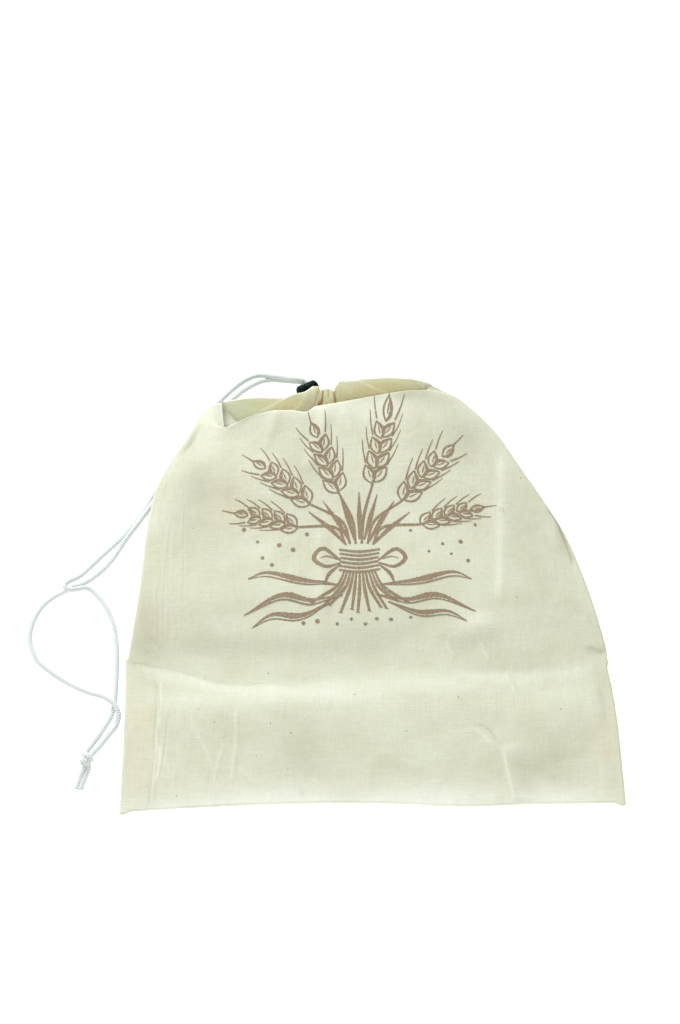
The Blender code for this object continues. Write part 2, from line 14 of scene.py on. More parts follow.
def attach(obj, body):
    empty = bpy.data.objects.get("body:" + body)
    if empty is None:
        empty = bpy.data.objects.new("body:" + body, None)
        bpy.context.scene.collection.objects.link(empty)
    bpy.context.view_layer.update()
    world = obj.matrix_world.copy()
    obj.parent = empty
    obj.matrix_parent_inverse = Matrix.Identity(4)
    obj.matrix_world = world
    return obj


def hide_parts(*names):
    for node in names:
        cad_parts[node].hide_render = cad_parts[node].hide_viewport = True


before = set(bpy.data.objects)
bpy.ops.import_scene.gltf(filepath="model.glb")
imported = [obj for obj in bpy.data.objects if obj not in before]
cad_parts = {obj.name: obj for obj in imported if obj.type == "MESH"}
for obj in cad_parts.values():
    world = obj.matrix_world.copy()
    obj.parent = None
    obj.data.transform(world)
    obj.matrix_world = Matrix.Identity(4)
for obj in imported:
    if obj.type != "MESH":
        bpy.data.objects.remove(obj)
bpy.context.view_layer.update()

MM = 0.001

# Cloth
SHEET = 0.8
SHARP_CLOTH = math.radians(70)
FRONT_FOLD_RADIUS = 1.5
BACK_FOLD_RADIUS = 0.9
FLAT_SEAM_REACH = 6.0
FLAT_SEAM_RUN = 3.4
FULL_CURL = 0.5
WRAP_CLEAR = 0.1
EDGE_ROUND = 1.3
SEAM_LIFT = SHEET / 2 + 0.03
BOTTOM_ROUND = 0.8
BOTTOM_SECTION = 20.0
BOTTOM_CROWDING = 2.2
BOTTOM_RISE = 3.4
BOTTOM_RISE_SHARE = 0.72
BOTTOM_SAG = 1.4
BOTTOM_SAG_AT = 0.66
BOTTOM_SAG_WIDTH = 0.09
CORNER_NUB = 2.2
CORNER_NUB_WIDTH = 3.2
CORNER_NUB_REACH = 3.2
CORNER_NUB_INSET = 2.4
BACK_TUCKED = 6.0

FOLD_STEPS = 8
TUCK_STEPS = 10
SIDE_STEPS = FOLD_STEPS + TUCK_STEPS
FRONT_STEPS = 300
BACK_STEPS = 260
SIDE_CROWDING = 0.085
CORNER_COLUMN = 0.025
CREASED_RISE = 0.03
# Stretches across the front with closer columns: start and end as shares of its width, how many more
CREASED = ((-0.02, 0.13, 2.4), (0.13, 0.27, 1.4), (0.66, 0.84, 1.3), (0.965, 1.02, 2.0))
GATHER_COLUMNS = (0.2, 0.8)

FRONT_COLUMNS = (
    "name steps left_x left_y right_x right_y edge_left edge_right crown "
    "rise_left rise_right dip_left dip_right dip_rise left_curl right_curl"
).split()
FRONT = (
    ("bottom", 18, -169.6, -168.0, 170.6, -161.6, 1.4, 1.4, 1.7, 0.50, 0.50, 0.0, 0.0, 0.09, 0.0, 0.0),
    ("lower", 30, -169.6, -148.0, 170.4, -146.0, 1.6, 1.6, 3.1, 0.50, 0.50, 0.0, 0.0, 0.09, 0.0, 0.0),
    ("low", 22, -169.9, -110.0, 169.8, -110.0, 1.8, 1.8, 5.6, 0.50, 0.50, 0.0, 0.0, 0.09, 0.0, 0.0),
    ("under_crease", 10, -171.3, -74.0, 167.6, -77.0, 1.8, 1.8, 5.6, 0.50, 0.50, 0.0, 0.0, 0.09, 0.0, 0.0),
    ("crease", 9, -171.9, -60.4, 165.8, -62.5, 1.8, 1.8, 5.2, 0.50, 0.50, 0.0, 0.0, 0.09, 0.0, 0.0),
    ("over_crease", 24, -170.4, -54.0, 166.3, -52.6, 2.4, 2.5, 5.5, 0.50, 0.50, 0.0, 0.0, 0.09, 0.5, 0.5),
    ("waist", 24, -164.6, -5.0, 155.5, -4.0, 7.4, 7.4, 10.0, 0.50, 0.50, 0.0, 0.0, 0.09, 1.0, 1.0),
    ("belly", 18, -162.2, 37.0, 142.2, 39.5, 7.8, 7.6, 13.0, 0.48, 0.48, 0.0, 0.0, 0.09, 1.0, 1.0),
    ("chest", 18, -159.2, 68.0, 128.5, 68.0, 8.2, 7.8, 16.0, 0.45, 0.45, 1.0, 0.0, 0.09, 1.0, 1.0),
    ("shoulder", 16, -149.5, 98.0, 110.5, 101.0, 8.6, 8.2, 19.5, 0.42, 0.40, 3.0, 0.0, 0.09, 1.0, 1.0),
    ("collar", 15, -137.0, 121.0, 94.0, 130.0, 9.0, 8.8, 22.5, 0.38, 0.33, 8.0, 0.0, 0.09, 1.0, 1.0),
    ("crest", 6, -127.5, 141.0, 66.0, 158.5, 9.8, 11.5, 25.0, 0.30, 0.25, 19.0, -4.0, 0.13, 1.0, 1.0),
    ("brow", 5, -121.0, 148.5, 56.0, 162.4, 11.0, 14.0, 23.8, 0.24, 0.20, 24.5, 0.0, 0.07, 1.0, 1.0),
    ("drop", 7, -116.0, 151.4, 49.0, 165.0, 12.0, 16.5, 18.0, 0.20, 0.18, 24.5, 2.0, 0.035, 1.0, 1.0),
    ("hem", 0, -111.0, 152.6, 45.5, 166.0, 12.5, 17.0, 8.0, 0.16, 0.14, 23.5, 6.0, 0.022, 1.0, 1.0),
)

BEND_COLUMNS = "name x forward".split()
CREST_BEND = (
    ("left_corner", -104.0, 0.0),
    ("left_rise", -74.0, 3.4),
    ("flat", -58.0, 0.8),
    ("sag", -46.0, -3.0),
    ("step", -39.0, 0.4),
    ("gathers", -30.0, 0.0),
)

BACK_COLUMNS = "name steps left_x left_y right_x right_y left_curl right_curl".split()
BACK = (
    ("bottom", 6, -169.6, -168.0, 170.6, -161.6, 0.0, 0.0),
    ("lower", 8, -169.6, -148.0, 170.4, -146.0, 0.0, 0.0),
    ("low", 8, -169.9, -110.0, 169.8, -110.0, 0.0, 0.0),
    ("under_crease", 5, -171.3, -74.0, 167.6, -77.0, 0.0, 0.0),
    ("crease", 6, -171.9, -60.4, 165.8, -62.5, 0.0, 0.0),
    ("over_crease", 14, -170.0, -54.0, 166.3, -52.6, 0.5, 0.5),
    ("waist", 14, -162.5, -5.0, 156.0, -4.0, 1.0, 1.0),
    ("belly", 10, -156.0, 37.0, 143.8, 39.5, 1.0, 1.0),
    ("chest", 10, -149.5, 68.0, 130.5, 68.0, 1.0, 1.0),
    ("shoulder", 10, -139.5, 98.0, 112.0, 101.0, 1.0, 1.0),
    ("collar", 12, -127.0, 121.0, 93.5, 129.0, 1.0, 1.0),
    ("turn", 45, -116.5, 137.0, 64.0, 152.0, 1.0, 1.0),
    ("lip", 0, -111.0, 149.0, 50.5, 162.4, 1.0, 1.0),
)

SEAM_COLUMNS = "name left_x left_y left_z right_x right_y right_z".split()
SEAM = (
    ("crease", -171.9, -60.4, 1.35, 165.8, -62.5, 1.35),
    ("over_crease", -169.2, -54.0, 2.2, 164.9, -52.6, 2.2),
    ("waist", -156.0, -5.0, 3.7, 142.0, -4.0, 3.7),
    ("belly", -147.0, 37.0, 3.8, 119.0, 39.5, 3.9),
    ("chest", -136.0, 68.0, 4.0, 95.0, 68.0, 4.1),
    ("shoulder", -122.0, 98.0, 4.2, 67.0, 101.0, 4.3),
    ("collar", -105.0, 120.0, 4.6, 45.0, 127.0, 4.8),
    ("crest", -98.0, 136.0, 5.4, 36.0, 146.0, 5.6),
    ("brow", -101.2, 140.0, 6.6, 38.3, 151.2, 7.7),
    ("drop", -104.3, 144.0, 7.8, 40.6, 156.3, 9.7),
    ("hem", -107.5, 148.0, 8.9, 43.0, 161.5, 11.3),
)
SEWN_AS = {"turn": "crest", "lip": "hem"}

LIP_COLUMNS = "name x y z".split()
LIP = (
    ("left_seam", -111.0, 149.0, 7.6),
    ("left_corner", -110.4, 152.4, 13.0),
    ("left_wing", -88.0, 154.0, 16.0),
    ("left_fold", -66.0, 152.7, 18.0),
    ("left_rise", -55.0, 155.4, 20.5),
    ("left_neck", -48.5, 156.0, 21.6),
    ("left_tip", -41.5, 159.2, 25.0),
    ("flap_end", -37.6, 159.3, 24.6),
    ("flap_drop", -36.2, 156.8, 23.6),
    ("gather", -30.6, 157.3, 23.8),
    ("notch", -25.6, 156.1, 22.9),
    ("right_edge", -24.8, 159.4, 24.6),
    ("right_tip", -23.0, 162.2, 25.8),
    ("right_round", -20.2, 163.3, 26.5),
    ("right_after", -16.8, 162.9, 26.1),
    ("right_fold", -6.0, 164.3, 25.0),
    ("right_wing", 16.0, 167.0, 23.6),
    ("right_shoulder", 32.0, 167.4, 21.6),
    ("right_slope", 47.6, 165.6, 17.6),
    ("right_seam", 50.5, 162.4, 10.6),
)
LIP_CORNER = 2.8

# The gathers of the lip: x of the valleys between their folds, with each valley's lean low down and its
# share of the depth, and the height of each fold over the lip. One valley shows near the top only.
GATHER_LEFT = -42.5
GATHER_RIGHT = -20.5
GATHER_VALLEYS = (-43.6, -37.2, -34.4, -30.6, -26.4, -21.6)
GATHER_LEANS = (-1.0, -5.0, -0.6, 0.3, 0.4, 0.0)
GATHER_SHARES = (0.4, 0.8, 1.3, 0.8, 1.2, 0.4)
GATHER_MIDDLE = -31.5
GATHER_TOPS = (0.0, 0.4, 0.9, 0.9, 0.0)
GATHER_SHORT = 3
GATHER_SHORT_FROM = 0.70
GATHER_SHORT_RISE = 0.22
GATHER_FAN = 0.45
GATHER_DEPTH = 2.8
GATHER_SHALLOW = 0.6
GATHER_FORWARD = 0.3
GATHER_NOTCH = 1.5
GATHER_FADE = 0.12
GATHER_REACH = 0.4
GATHER_RISE = 0.8
TURN_BOW = 2.0
TURN_LEAN = 0.85
TURN_ROUND = 1.7

# How much earlier than its first height a pressed fold starts to show
WING_ONSET = 0.25
# Folds pressed into the standing back edge: forward lift, width of the step, reach to the right,
# and the places along the lip (second list) where the step is for the heights risen (first list)
WING_FOLDS = (
    (1.5, 1.4, 15.0, (0.30, 0.47, 0.70, 0.96, 1.0), (-93.0, -85.1, -75.9, -65.9, -64.4)),
    (0.9, 1.0, 7.0, (0.45, 0.60, 0.80, 1.0), (-57.0, -53.0, -49.5, -47.0)),
    (-0.9, 1.6, 16.0, (0.50, 0.66, 0.80, 0.965, 1.0), (20.0, 11.8, 3.4, -5.7, -7.6)),
    (0.7, 1.0, 5.0, (0.40, 0.55, 0.68, 0.9), (1.0, -5.6, -11.7, -20.0)),
    (1.3, 2.2, 4.0, (0.55, 0.80, 1.0), (-24.6, -24.4, -24.0)),
)

# Creases of the face: height over the cloth (below zero a trough), width to each side of the path
# (left and right as the path runs), and the path itself
CREASES = (
    ("packing_fold", -0.75, 30.0, 18.0, (
        (-174, -59), (-160.7, -61.4), (-147.3, -64), (-129.5, -68.6), (-108.3, -75.8), (-83.9, -78.3),
        (-59.7, -76.9), (-28.4, -74), (-4.1, -68), (20.3, -64.9), (48.2, -66.3), (76, -67.7),
        (113, -66.6), (137.7, -62.6), (152.5, -58.8), (172, -54.5),
    )),
    ("left_press", 0.45, 0.9, 0.8, (
        (-152.2, -66), (-147.2, -90.4), (-146.4, -103.4), (-146.3, -128.7), (-146.9, -147.5),
        (-146.6, -171),
    )),
    ("left_press_line", -0.22, 0.7, 0.7, (
        (-153.3, -68), (-148.3, -90.4), (-147.9, -103.4), (-147.9, -128.7), (-148.3, -147.5),
        (-148.0, -163),
    )),
    ("left_press_side", -0.28, 0.8, 0.8, (
        (-139.6, -100), (-140.3, -108.3), (-141, -120), (-142.4, -136), (-144.2, -150),
    )),
    ("left_line_1", 0.34, 0.7, 0.8, ((-153.4, 4), (-152.5, -13), (-150.2, -46))),
    ("left_line_2", 0.26, 0.7, 0.7, ((-149.1, -8), (-148.2, -18), (-147.2, -52))),
    ("left_line_3", 0.34, 0.8, 0.7, ((-145.6, 10), (-144.5, -13), (-143.6, -44))),
    ("left_line_4", 0.22, 0.7, 0.9, ((-140.4, -6), (-140.2, -20), (-138.0, -50))),
    ("left_line_5", 0.20, 0.9, 0.9, ((-136.4, 4), (-135.4, -13), (-133.4, -40))),
    ("left_high_1", 0.24, 0.9, 1.0, ((-145.4, 58), (-146.6, 40), (-148.6, -16))),
    ("left_high_2", 0.20, 0.9, 0.9, ((-142.6, 50), (-142.2, 30), (-142.4, -30))),
    ("left_high_3", 0.24, 0.9, 1.1, ((-136.8, 64), (-136, 44), (-133.8, -20))),
    ("left_high_4", 0.16, 0.9, 0.9, ((-132.2, 46), (-132.4, 30), (-130.0, -30))),
    ("low_slant_1", 0.45, 1.5, 1.4, ((-121, -109), (-118.8, -113.7), (-109.8, -132.7), (-106.2, -146))),
    ("low_slant_2", 0.28, 1.4, 1.4, ((-101.8, -124), (-103.1, -129.1), (-107.4, -152))),
    ("low_upright", 0.34, 1.3, 1.2, ((-92.8, -92), (-92.5, -118.3), (-93.7, -132.8), (-94.5, -153))),
    ("low_slant_3", 0.3, 1.6, 1.6, ((-90, -137), (-86.4, -141.5), (-74.5, -153.5))),
    ("nick", -0.5, 1.0, 0.9, ((-47, -153), (-46.4, -156.5), (-44.8, -163))),
    ("pucker_ridge", 0.5, 1.8, 3.6, (
        (64, -107.6), (69.6, -109.2), (76.3, -111), (80.4, -115), (84.6, -122), (88.5, -128),
    )),
    ("pucker_line", -0.6, 1.0, 0.9, (
        (66, -107.2), (70.2, -107.9), (77.4, -109), (82.4, -113.4), (86.8, -120.8),
    )),
    ("right_press", 1.15, 14.0, 1.2, (
        (88, -122), (90.6, -129.2), (92.2, -136.6), (93.5, -145.3), (95.4, -153.8), (97.4, -170),
    )),
    ("right_low_dent", -1.6, 12.0, 10.0, ((100, -150), (118, -141), (138, -138), (158, -139))),
    ("right_short_1", 0.5, 1.3, 1.4, ((76, -43), (77.4, -46.6), (83.5, -59.5))),
    ("right_short_2", 0.42, 1.3, 1.4, ((53, -43), (54.4, -46.6), (59.2, -57.5))),
    ("right_short_3", 0.48, 1.2, 1.3, ((117.2, -63), (117.6, -67.3), (119.2, -80))),
    ("right_short_4", 0.48, 1.3, 1.3, ((94.2, -65), (95.4, -68.9), (100.6, -84))),
    ("low_swell_edge", 0.6, 2.6, 3.4, ((4, -124), (10.4, -128.1), (26.6, -136.7), (36, -141))),
    ("shoulder_dent", -2.6, 12.0, 15.0, (
        (-134, 140), (-128.2, 116.6), (-120, 77.2), (-98.6, 58.4), (-82.3, 35.4), (-72, 14),
    )),
    ("print_fold", 1.3, 5.5, 4.5, ((-35, 46), (-34.6, 28.2), (-34.4, -18.1), (-35, -34))),
    ("right_upright", 0.42, 3.0, 2.4, ((99.4, 120), (98.6, 96), (96, 40), (92, -14), (90, -30))),
    ("right_mark", -0.9, 0.8, 1.4, ((96.4, 60), (98.8, 57.4), (100.6, 53))),
    ("shelf_left", -0.9, 9.0, 14.0, ((-160, -26), (-120, -30), (-70, -22), (-20, -31))),
    ("shelf_right", -0.8, 8.0, 12.0, ((10, -38), (50, -33), (90, -41), (150, -33))),
    ("right_edge_fold", -1.5, 1.1, 1.0, (
        (119, 84), (126, 70), (132, 59), (135, 54), (139.6, 40), (144.2, 24), (147, 8),
    )),
    ("crest_pull_1", 0.7, 4.0, 5.0, ((-66, 146), (-70, 128), (-78, 104))),
    ("crest_pull_2", 0.9, 4.0, 4.5, ((-32, 144), (-33, 128), (-40, 104), (-46, 84))),
    ("crest_pull_3", 0.8, 4.5, 4.0, ((-20, 146), (-14, 126), (-2, 100), (6, 82))),
    ("crest_pull_4", 0.6, 5.0, 5.0, ((10, 150), (24, 130), (44, 104))),
)

CREASE_PATHS = {name: path for name, *_, path in CREASES}
CREASE_FADE = 0.18
FOLD_BOW_RISE = 0.05
# Where the creases, rises and ripples stop: shares of the width at the sides, sections at the two ends
SIDE_FADE = 0.035
BOTTOM_FADE = 0.3
CREST_FADE = 0.8
# No crease or hollow takes the middle of the front sheet lower than this
FACE_LOWEST = SHEET * 1.6

# Rows like those of CREASES for the short folds at the kinks of the outline, which run out to its edge
KINKS = (
    ("left_kink", -0.25, 4.0, 4.4, ((-190, -59.5), (-168, -60.6), (-158, -62.0), (-149, -64))),
    ("right_kink", -1.0, 2.4, 2.8, (
        (150, -49.0), (154.4, -49.6), (158.6, -51.6), (164.6, -52.4), (186, -55),
    )),
)

# Fine pressed lines painted paler (painted highlight) or darker (painted shade) than the cloth: strength,
# width to each side, and the path, or the name of the crease that the line follows
PAINTED_HIGHLIGHT_LINES = (
    (0.30, 1.3, 1.2, "low_slant_1"),
    (0.26, 1.2, 1.2, "low_slant_2"),
    (0.28, 1.1, 1.1, ((-92.8, -88), (-92.5, -118.3), (-93.7, -132.8), (-94.5, -155))),
    (0.28, 1.2, 1.2, "low_slant_3"),
    (0.6, 1.6, 1.2, ((-146.2, -118), (-144.6, -128), (-144.8, -138), (-146.4, -150))),
    (0.5, 1.0, 1.0, ((-146.4, -70), (-145.6, -90), (-145.8, -112))),
    (0.35, 1.0, 0.8, (
        (88.6, -122), (89.6, -129.2), (91.4, -136.6), (92.8, -145.3), (94.6, -153.8), (96.4, -168),
    )),
    (0.35, 1.2, 1.2, ((68, -110.6), (74.6, -113), (78.8, -117.4), (83.4, -123.6))),
    (0.34, 1.2, 1.2, "right_short_1"),
    (0.28, 1.2, 1.2, "right_short_2"),
    (0.34, 1.1, 1.1, "right_short_3"),
    (0.34, 1.1, 1.1, "right_short_4"),
    (0.45, 3.0, 8.0, (
        (-164, -64), (-147.3, -66.5), (-129.5, -70.6), (-108.3, -78), (-83.9, -80.5), (-50, -79),
    )),
    (0.40, 3.0, 6.0, ((50, -69), (76, -70), (113, -69), (140, -65.5), (162, -61))),
    (0.35, 5.0, 5.0, ((98.6, 120), (98.0, 90), (94, 30), (90, -20))),
    (0.5, 2.0, 2.0, ((135, 60), (139, 52), (144.6, 38), (149, 22))),
)
PAINTED_SHADE_LINES = (
    (0.9, 0.7, 0.7, "pucker_line"),
    (0.5, 0.6, 0.6, ((-153.3, -64), (-149.6, -78), (-148.6, -92), (-148.9, -112), (-149.2, -130))),
    (0.4, 0.7, 0.7, ((-150.8, -136), (-150.0, -150), (-149.6, -166))),
    (0.45, 0.7, 0.7, ((-140.4, -104), (-141, -120), (-142.4, -136), (-144.4, -150))),
    (1.4, 1.1, 0.9, ((128, 67), (132, 59), (135, 54), (139.6, 40), (144.2, 24), (146.4, 12))),
    (0.5, 0.8, 0.8, "right_mark"),
    (0.6, 0.8, 0.8, ((-46.4, -154), (-46.2, -157), (-45.2, -162))),
)

# Broad soft rises (and hollows, below zero) of the face: middle, reach across and along, turn in degrees,
# height
SWELLS = (
    (-100, -96, 46, 17, -3, 2.0),
    (-20, -92, 60, 18, 4, 2.1),
    (70, -92, 52, 16, -2, 1.9),
    (130, -96, 32, 18, 6, 1.3),
    (-40, -138, 16, 20, 10, -1.0),
    (48, -132, 22, 14, 12, 0.9),
    (-128, -22, 22, 18, 0, 0.9),
    (76, -33, 12, 8, 10, 1.3),
    (-58, -14, 34, 20, 8, 1.2),
    (22, -12, 30, 18, -6, 1.0),
    (118, 14, 20, 34, 12, 1.3),
    (-134, 86, 14, 26, 10, 1.8),
    (-62, 92, 26, 24, 0, 1.3),
    (64, 78, 24, 30, 14, 1.4),
    (10, 60, 30, 22, 0, -0.8),
)

# Faint unevenness of the face: seed, number of waves, shortest and longest wave, height
RIPPLES = ((11, 14, 34, 90, 0.38), (5, 20, 8, 26, 0.09))

# Warm tints and painted shade of the cloth: middle, reach across and along, warmth (partly painted warm shade
# in the dents), darkness of the painted shade
TINTS_AND_PAINTED_SHADE = (
    (-159, -118, 9, 52, 0.9, 0.10),
    (-158, -30, 8, 34, 0.8, 0.25),
    (-150, 20, 8, 46, 0.35, 0.10),
    (161, -122, 8, 34, 0.9, 0.15),
    (-108, 66, 20, 44, 0.75, 0.30),
    (-112, -44, 46, 9, 0.45, 0.45),
    (-20, -48, 44, 9, 0.35, 0.40),
    (66, -44, 22, 8, 0.35, 0.50),
    (118, -66, 30, 8, 0.10, 0.35),
    (116, -140, 26, 14, 0.45, 0.45),
    (-46, -128, 22, 24, 0.25, 0.35),
    (-122, -124, 22, 20, 0.35, 0.25),
    (116, 44, 26, 56, 0.05, 0.42),
    (72, 118, 16, 26, 0.10, 0.75),
    (24, 152, 28, 8, 0.30, 0.60),
    (-122, 84, 16, 24, 0.40, 0.55),
    (44, 154, 22, 6, 0.15, 0.35),
    (-136, 62, 14, 30, 0.20, 0.35),
    (-6, -38, 34, 9, 0.20, 0.35),
    (139, 42, 4, 16, 0.95, 0.60),
    (158, -50, 8, 4, 0.60, 0.60),
    (-156, -40, 12, 26, 0.8, 0.40),
    (-92, -50, 66, 9, 0.35, 0.35),
    (-126, 20, 26, 40, 0.3, 0.25),
    (-60, 60, 30, 40, 0.1, 0.20),
)

# Painted light: where the cloth is painted paler, as lit by the bright table, and where shaded spots are
# lifted: middle and reach as above, and how much
PAINTED_LIGHT_PATCHES = (
    (-60, -166, 66, 15, 1.0), (30, -165, 62, 15, 1.0), (120, -164, 40, 11, 0.9),
    (-134, -168, 34, 9, 0.8), (-118, -88, 40, 8, 0.35), (-40, -84, 50, 8, 0.45), (40, -78, 44, 7, 0.4),
    (-22, 140, 52, 10, 0.45), (-104, 151, 7, 7, 0.8), (-120, 118, 12, 16, 0.10), (30, -96, 60, 12, 0.15),
    (-104, 139, 8, 9, 1.0), (80, -30, 20, 10, 0.35),
)

# How much of the darkest cloth colour a full patch of painted shade takes
PAINTED_SHADE_SHARE = 0.45

# Dark flecks of cotton seed left in the cloth
FLECKS = (
    (-151.1, -149.5), (-131.4, -157.9), (-68.8, -106.9), (-119.0, -95.4), (-107.3, -105.7), (-106.9, -136.3),
    (-11.5, -85.9), (-54.5, -114.1), (-78.3, -130.7), (-57.7, -139.5), (-71.4, -68.6), (-152.9, -51.1),
    (60.0, -88.0), (24.0, -112.0), (131.0, -96.0), (-128.0, 44.0), (112.0, 88.0), (104.0, -12.0),
)

# Cord, its lock and knot. The routes are those of a cord 3.2 mm thick that rests on the surface.
CORD_OVER_YARNS = 3.85
CORD_ROUTED = 3.2
CORD_RIB = 0.09
CORD_SQUEEZED = 2.65
LOCK_DIAMETER = 10.8
LOCK_BORE = 8.5
LOCK_STEM = 8.0
LOCK_TRAVEL = 2.4
LOCK_CLEARANCE = 0.3
LOCK_HOLE_HEIGHT = 5.7
LOCK_HOLE_WIDTH = 3.0
LOCK_BAR = 1.1
LOCK_EDGE = 0.5
LOCK_BASE_SIDE = 1.4
LOCK_BASE_DOME = 3.2
LOCK_HEAD_INSET = -0.35
LOCK_HEAD_SIDE = 1.3
LOCK_HEAD_DOME = 2.7
LOCK_SKIRT_GAP = 0.8
LOCK_SKIRT_LOOSE = 0.12
LOCK_SOFT_EDGE = 0.14
LOCK_SOFT_ANGLE = math.radians(38)
LOCK_SHARP = math.radians(42)
LOCK_GRIP = 0.62
LOCK_GRIP_FADE = 3.0
SLOT_ROUND = 0.45
LOCK_CENTRE = Vector((-44.2, 164.6, 12.6))
LOCK_AXIS = Vector((-0.864, -0.504, 0.0)).normalized()
STRAND_A = (
    (-40.3, 157.9, 13.95), (-41.8, 160.5, 13.95), (-44.2, 164.6, 13.95), (-47.5, 170.3, 13.9),
    (-51.8, 173.0, 12.4), (-58.6, 175.6, 9.6), (-66.4, 178.8, 6.6), (-75.6, 182.0, 4.0),
    (-85.0, 183.6, 2.0), (-94.4, 179.4, 1.6), (-103.6, 171.2, 1.6), (-114.2, 158.8, 1.6),
    (-124.6, 143.4, 1.6), (-136.2, 122.4, 1.6), (-148.6, 97.8, 1.6), (-158.8, 78.4, 1.6),
    (-165.8, 63.9, 1.6), (-173.6, 50.6, 1.6), (-182.6, 38.6, 1.6), (-193.0, 27.0, 1.6),
    (-201.8, 16.8, 1.7), (-208.2, 9.2, 2.8), (-213.6, 4.9, 4.5), (-217.4, 2.2, 5.3),
    (-218.0, -1.2, 5.4), (-215.0, -3.2, 5.3), (-209.8, -2.6, 4.6), (-204.4, -0.7, 2.8),
    (-200.2, -1.4, 1.7), (-196.0, -5.2, 1.6), (-190.2, -12.4, 1.6), (-184.0, -24.4, 1.6),
    (-179.6, -41.2, 1.6), (-178.0, -58.3, 1.6),
    (-177.6, -74.4, 1.6), (-177.5, -85.8, 1.6), (-177.9, -93.3, 1.6), (-179.7, -100.8, 1.6),
    (-183.6, -108.6, 1.6), (-187.4, -115.4, 1.6), (-191.2, -121.6, 2.4), (-193.6, -126.2, 3.6),
)
STRAND_B = (
    (-40.0, 157.4, 11.25), (-41.8, 160.5, 11.25), (-44.2, 164.6, 11.25), (-47.4, 170.1, 11.1),
    (-51.8, 172.8, 9.2), (-58.4, 175.4, 6.2), (-66.2, 178.2, 3.2), (-74.6, 179.8, 1.6),
    (-83.2, 178.0, 1.6), (-92.4, 172.2, 1.6), (-101.0, 164.6, 1.6), (-110.2, 155.2, 1.6),
    (-121.2, 141.0, 1.6), (-132.8, 120.6, 1.6), (-145.4, 96.2, 1.6), (-156.0, 76.2, 1.7),
    (-163.4, 62.4, 3.3), (-170.8, 48.6, 4.6), (-176.6, 39.6, 3.6), (-184.0, 27.2, 1.6),
    (-191.0, 16.4, 1.6), (-200.0, 7.4, 1.6), (-208.2, 2.2, 1.6), (-217.6, -2.4, 1.6),
    (-227.4, -8.6, 1.6), (-235.0, -17.0, 1.6), (-239.8, -29.4, 1.6), (-240.2, -42.0, 1.6),
    (-234.4, -56.2, 1.6), (-223.4, -66.4, 1.6), (-209.4, -75.6, 1.6), (-196.0, -82.2, 2.7),
    (-184.6, -86.6, 4.4), (-177.4, -92.2, 4.8), (-173.9, -99.0, 3.6), (-175.3, -106.2, 1.7),
    (-179.6, -113.2, 1.6), (-184.0, -119.6, 1.6), (-187.4, -124.4, 2.2), (-189.9, -128.0, 3.2),
)
ROUTE_SAMPLES = 10
BRAID_STEP = 0.3
BRAID_SIDES = 24
BRAID_RELIEF = 0.204
BRAID_PITCH = 1.7
BRAID_STARTS = 3
BRAID_PAST_LOCK = 118 * BRAID_PITCH
BRAID_TIP = 0.35
TAIL_TAPER = (1.02, 1.0, 0.94, 0.82)
KNOT_CENTRE = Vector((-193.4, -132.6, 4.6))
KNOT_ANGLE = math.radians(-25)
KNOT_CORD = 3.7
KNOT_STEPS = 64
KNOT_STEP = 0.35
KNOT_TURNS = 2.15
KNOT_CORE = 1.4
KNOT_SWELL = 1.75
KNOT_SLANT = 1.7
KNOT_REACH = 3.8
KNOT_IN_A = ((-194.4, -130.4, 4.4), (-193.6, -133.0, 4.6))
KNOT_IN_B = ((-191.8, -131.2, 4.2), (-193.0, -133.6, 4.6))
KNOT_OUT_A = ((-193.2, -132.4, 4.6), (-194.3, -135.6, 4.2))
KNOT_OUT_B = ((-193.6, -132.4, 4.6), (-192.2, -136.2, 4.2))
TAIL_A = ((-195.0, -138.6, 3.2), (-196.6, -143.0, 2.0), (-198.2, -148.0, 1.6), (-199.3, -152.8, 1.6))
TAIL_B = ((-191.9, -139.2, 3.2), (-193.6, -143.8, 2.0), (-195.3, -148.6, 1.6), (-196.4, -153.4, 1.6))

# Print: its middle on the cloth, and the ink that lies on it. Each stroke lies a little higher or lower
# than the one before, so that strokes which cross don't share a height.
PRINT_X = -7.5
INK_LIFT = 0.08
INK_STACK = 0.2
INK_TURN = 0.618034
INK_STEP = 1.1
INK_WIDE = 1.8
DOT_SIDES = 14

# The sheaf, from its tie: ears (degrees from upright, reach of the stalk, length, bend in degrees, seed),
# blades, the bow's strokes and the leaves of the right side, and loose grains
SHEAF_TIE = (0.0, 22.0)
SHEAF_EARS = (
    (-64, 50, 38, -12, 3), (-42, 54, 44, -9, 5), (-17, 52, 46, -5, 7),
    (10, 58, 46, 4, 11), (36, 54, 45, 8, 13), (62, 51, 38, 12, 17),
)
SHEAF_BLADES = (-52, -35, -18, 0, 17, 34, 52)
SHEAF_BOW = (
    (((13.5, 17), (26, 26), (33, 19), (25, 12), (13.8, 15)), (1.4, 2.8, 3.2, 2.6, 1.2)),
    (((13.5, 14), (22, 6), (25, -3)), (1.3, 2.8, 1.0)),
    (((16, 18), (23, 20), (28, 18.5)), (0.8, 1.1, 0.6)),
)
SHEAF_LEAVES = (
    ((12, -10), (34, -14), (56, -10), (82, -24)),
    ((20, -16), (42, -25), (62, -24), (76, -33)),
    ((16, -2), (42, 2), (66, 8), (80, 3)),
)
LOOSE_GRAINS = (
    (-70, 20), (-63, 14), (-74, 34), (-58, 30), (66, 22), (73, 32), (60, 30), (78, 17), (-38, 38), (37, 41),
    (-48, 26), (50, 24), (-30, -30), (-16, -33), (4, -35), (22, -32), (36, -30), (-80, 60), (81, 58),
    (-84, 44), (84, 46), (-40, -31), (12, -31), (-6, -30),
)

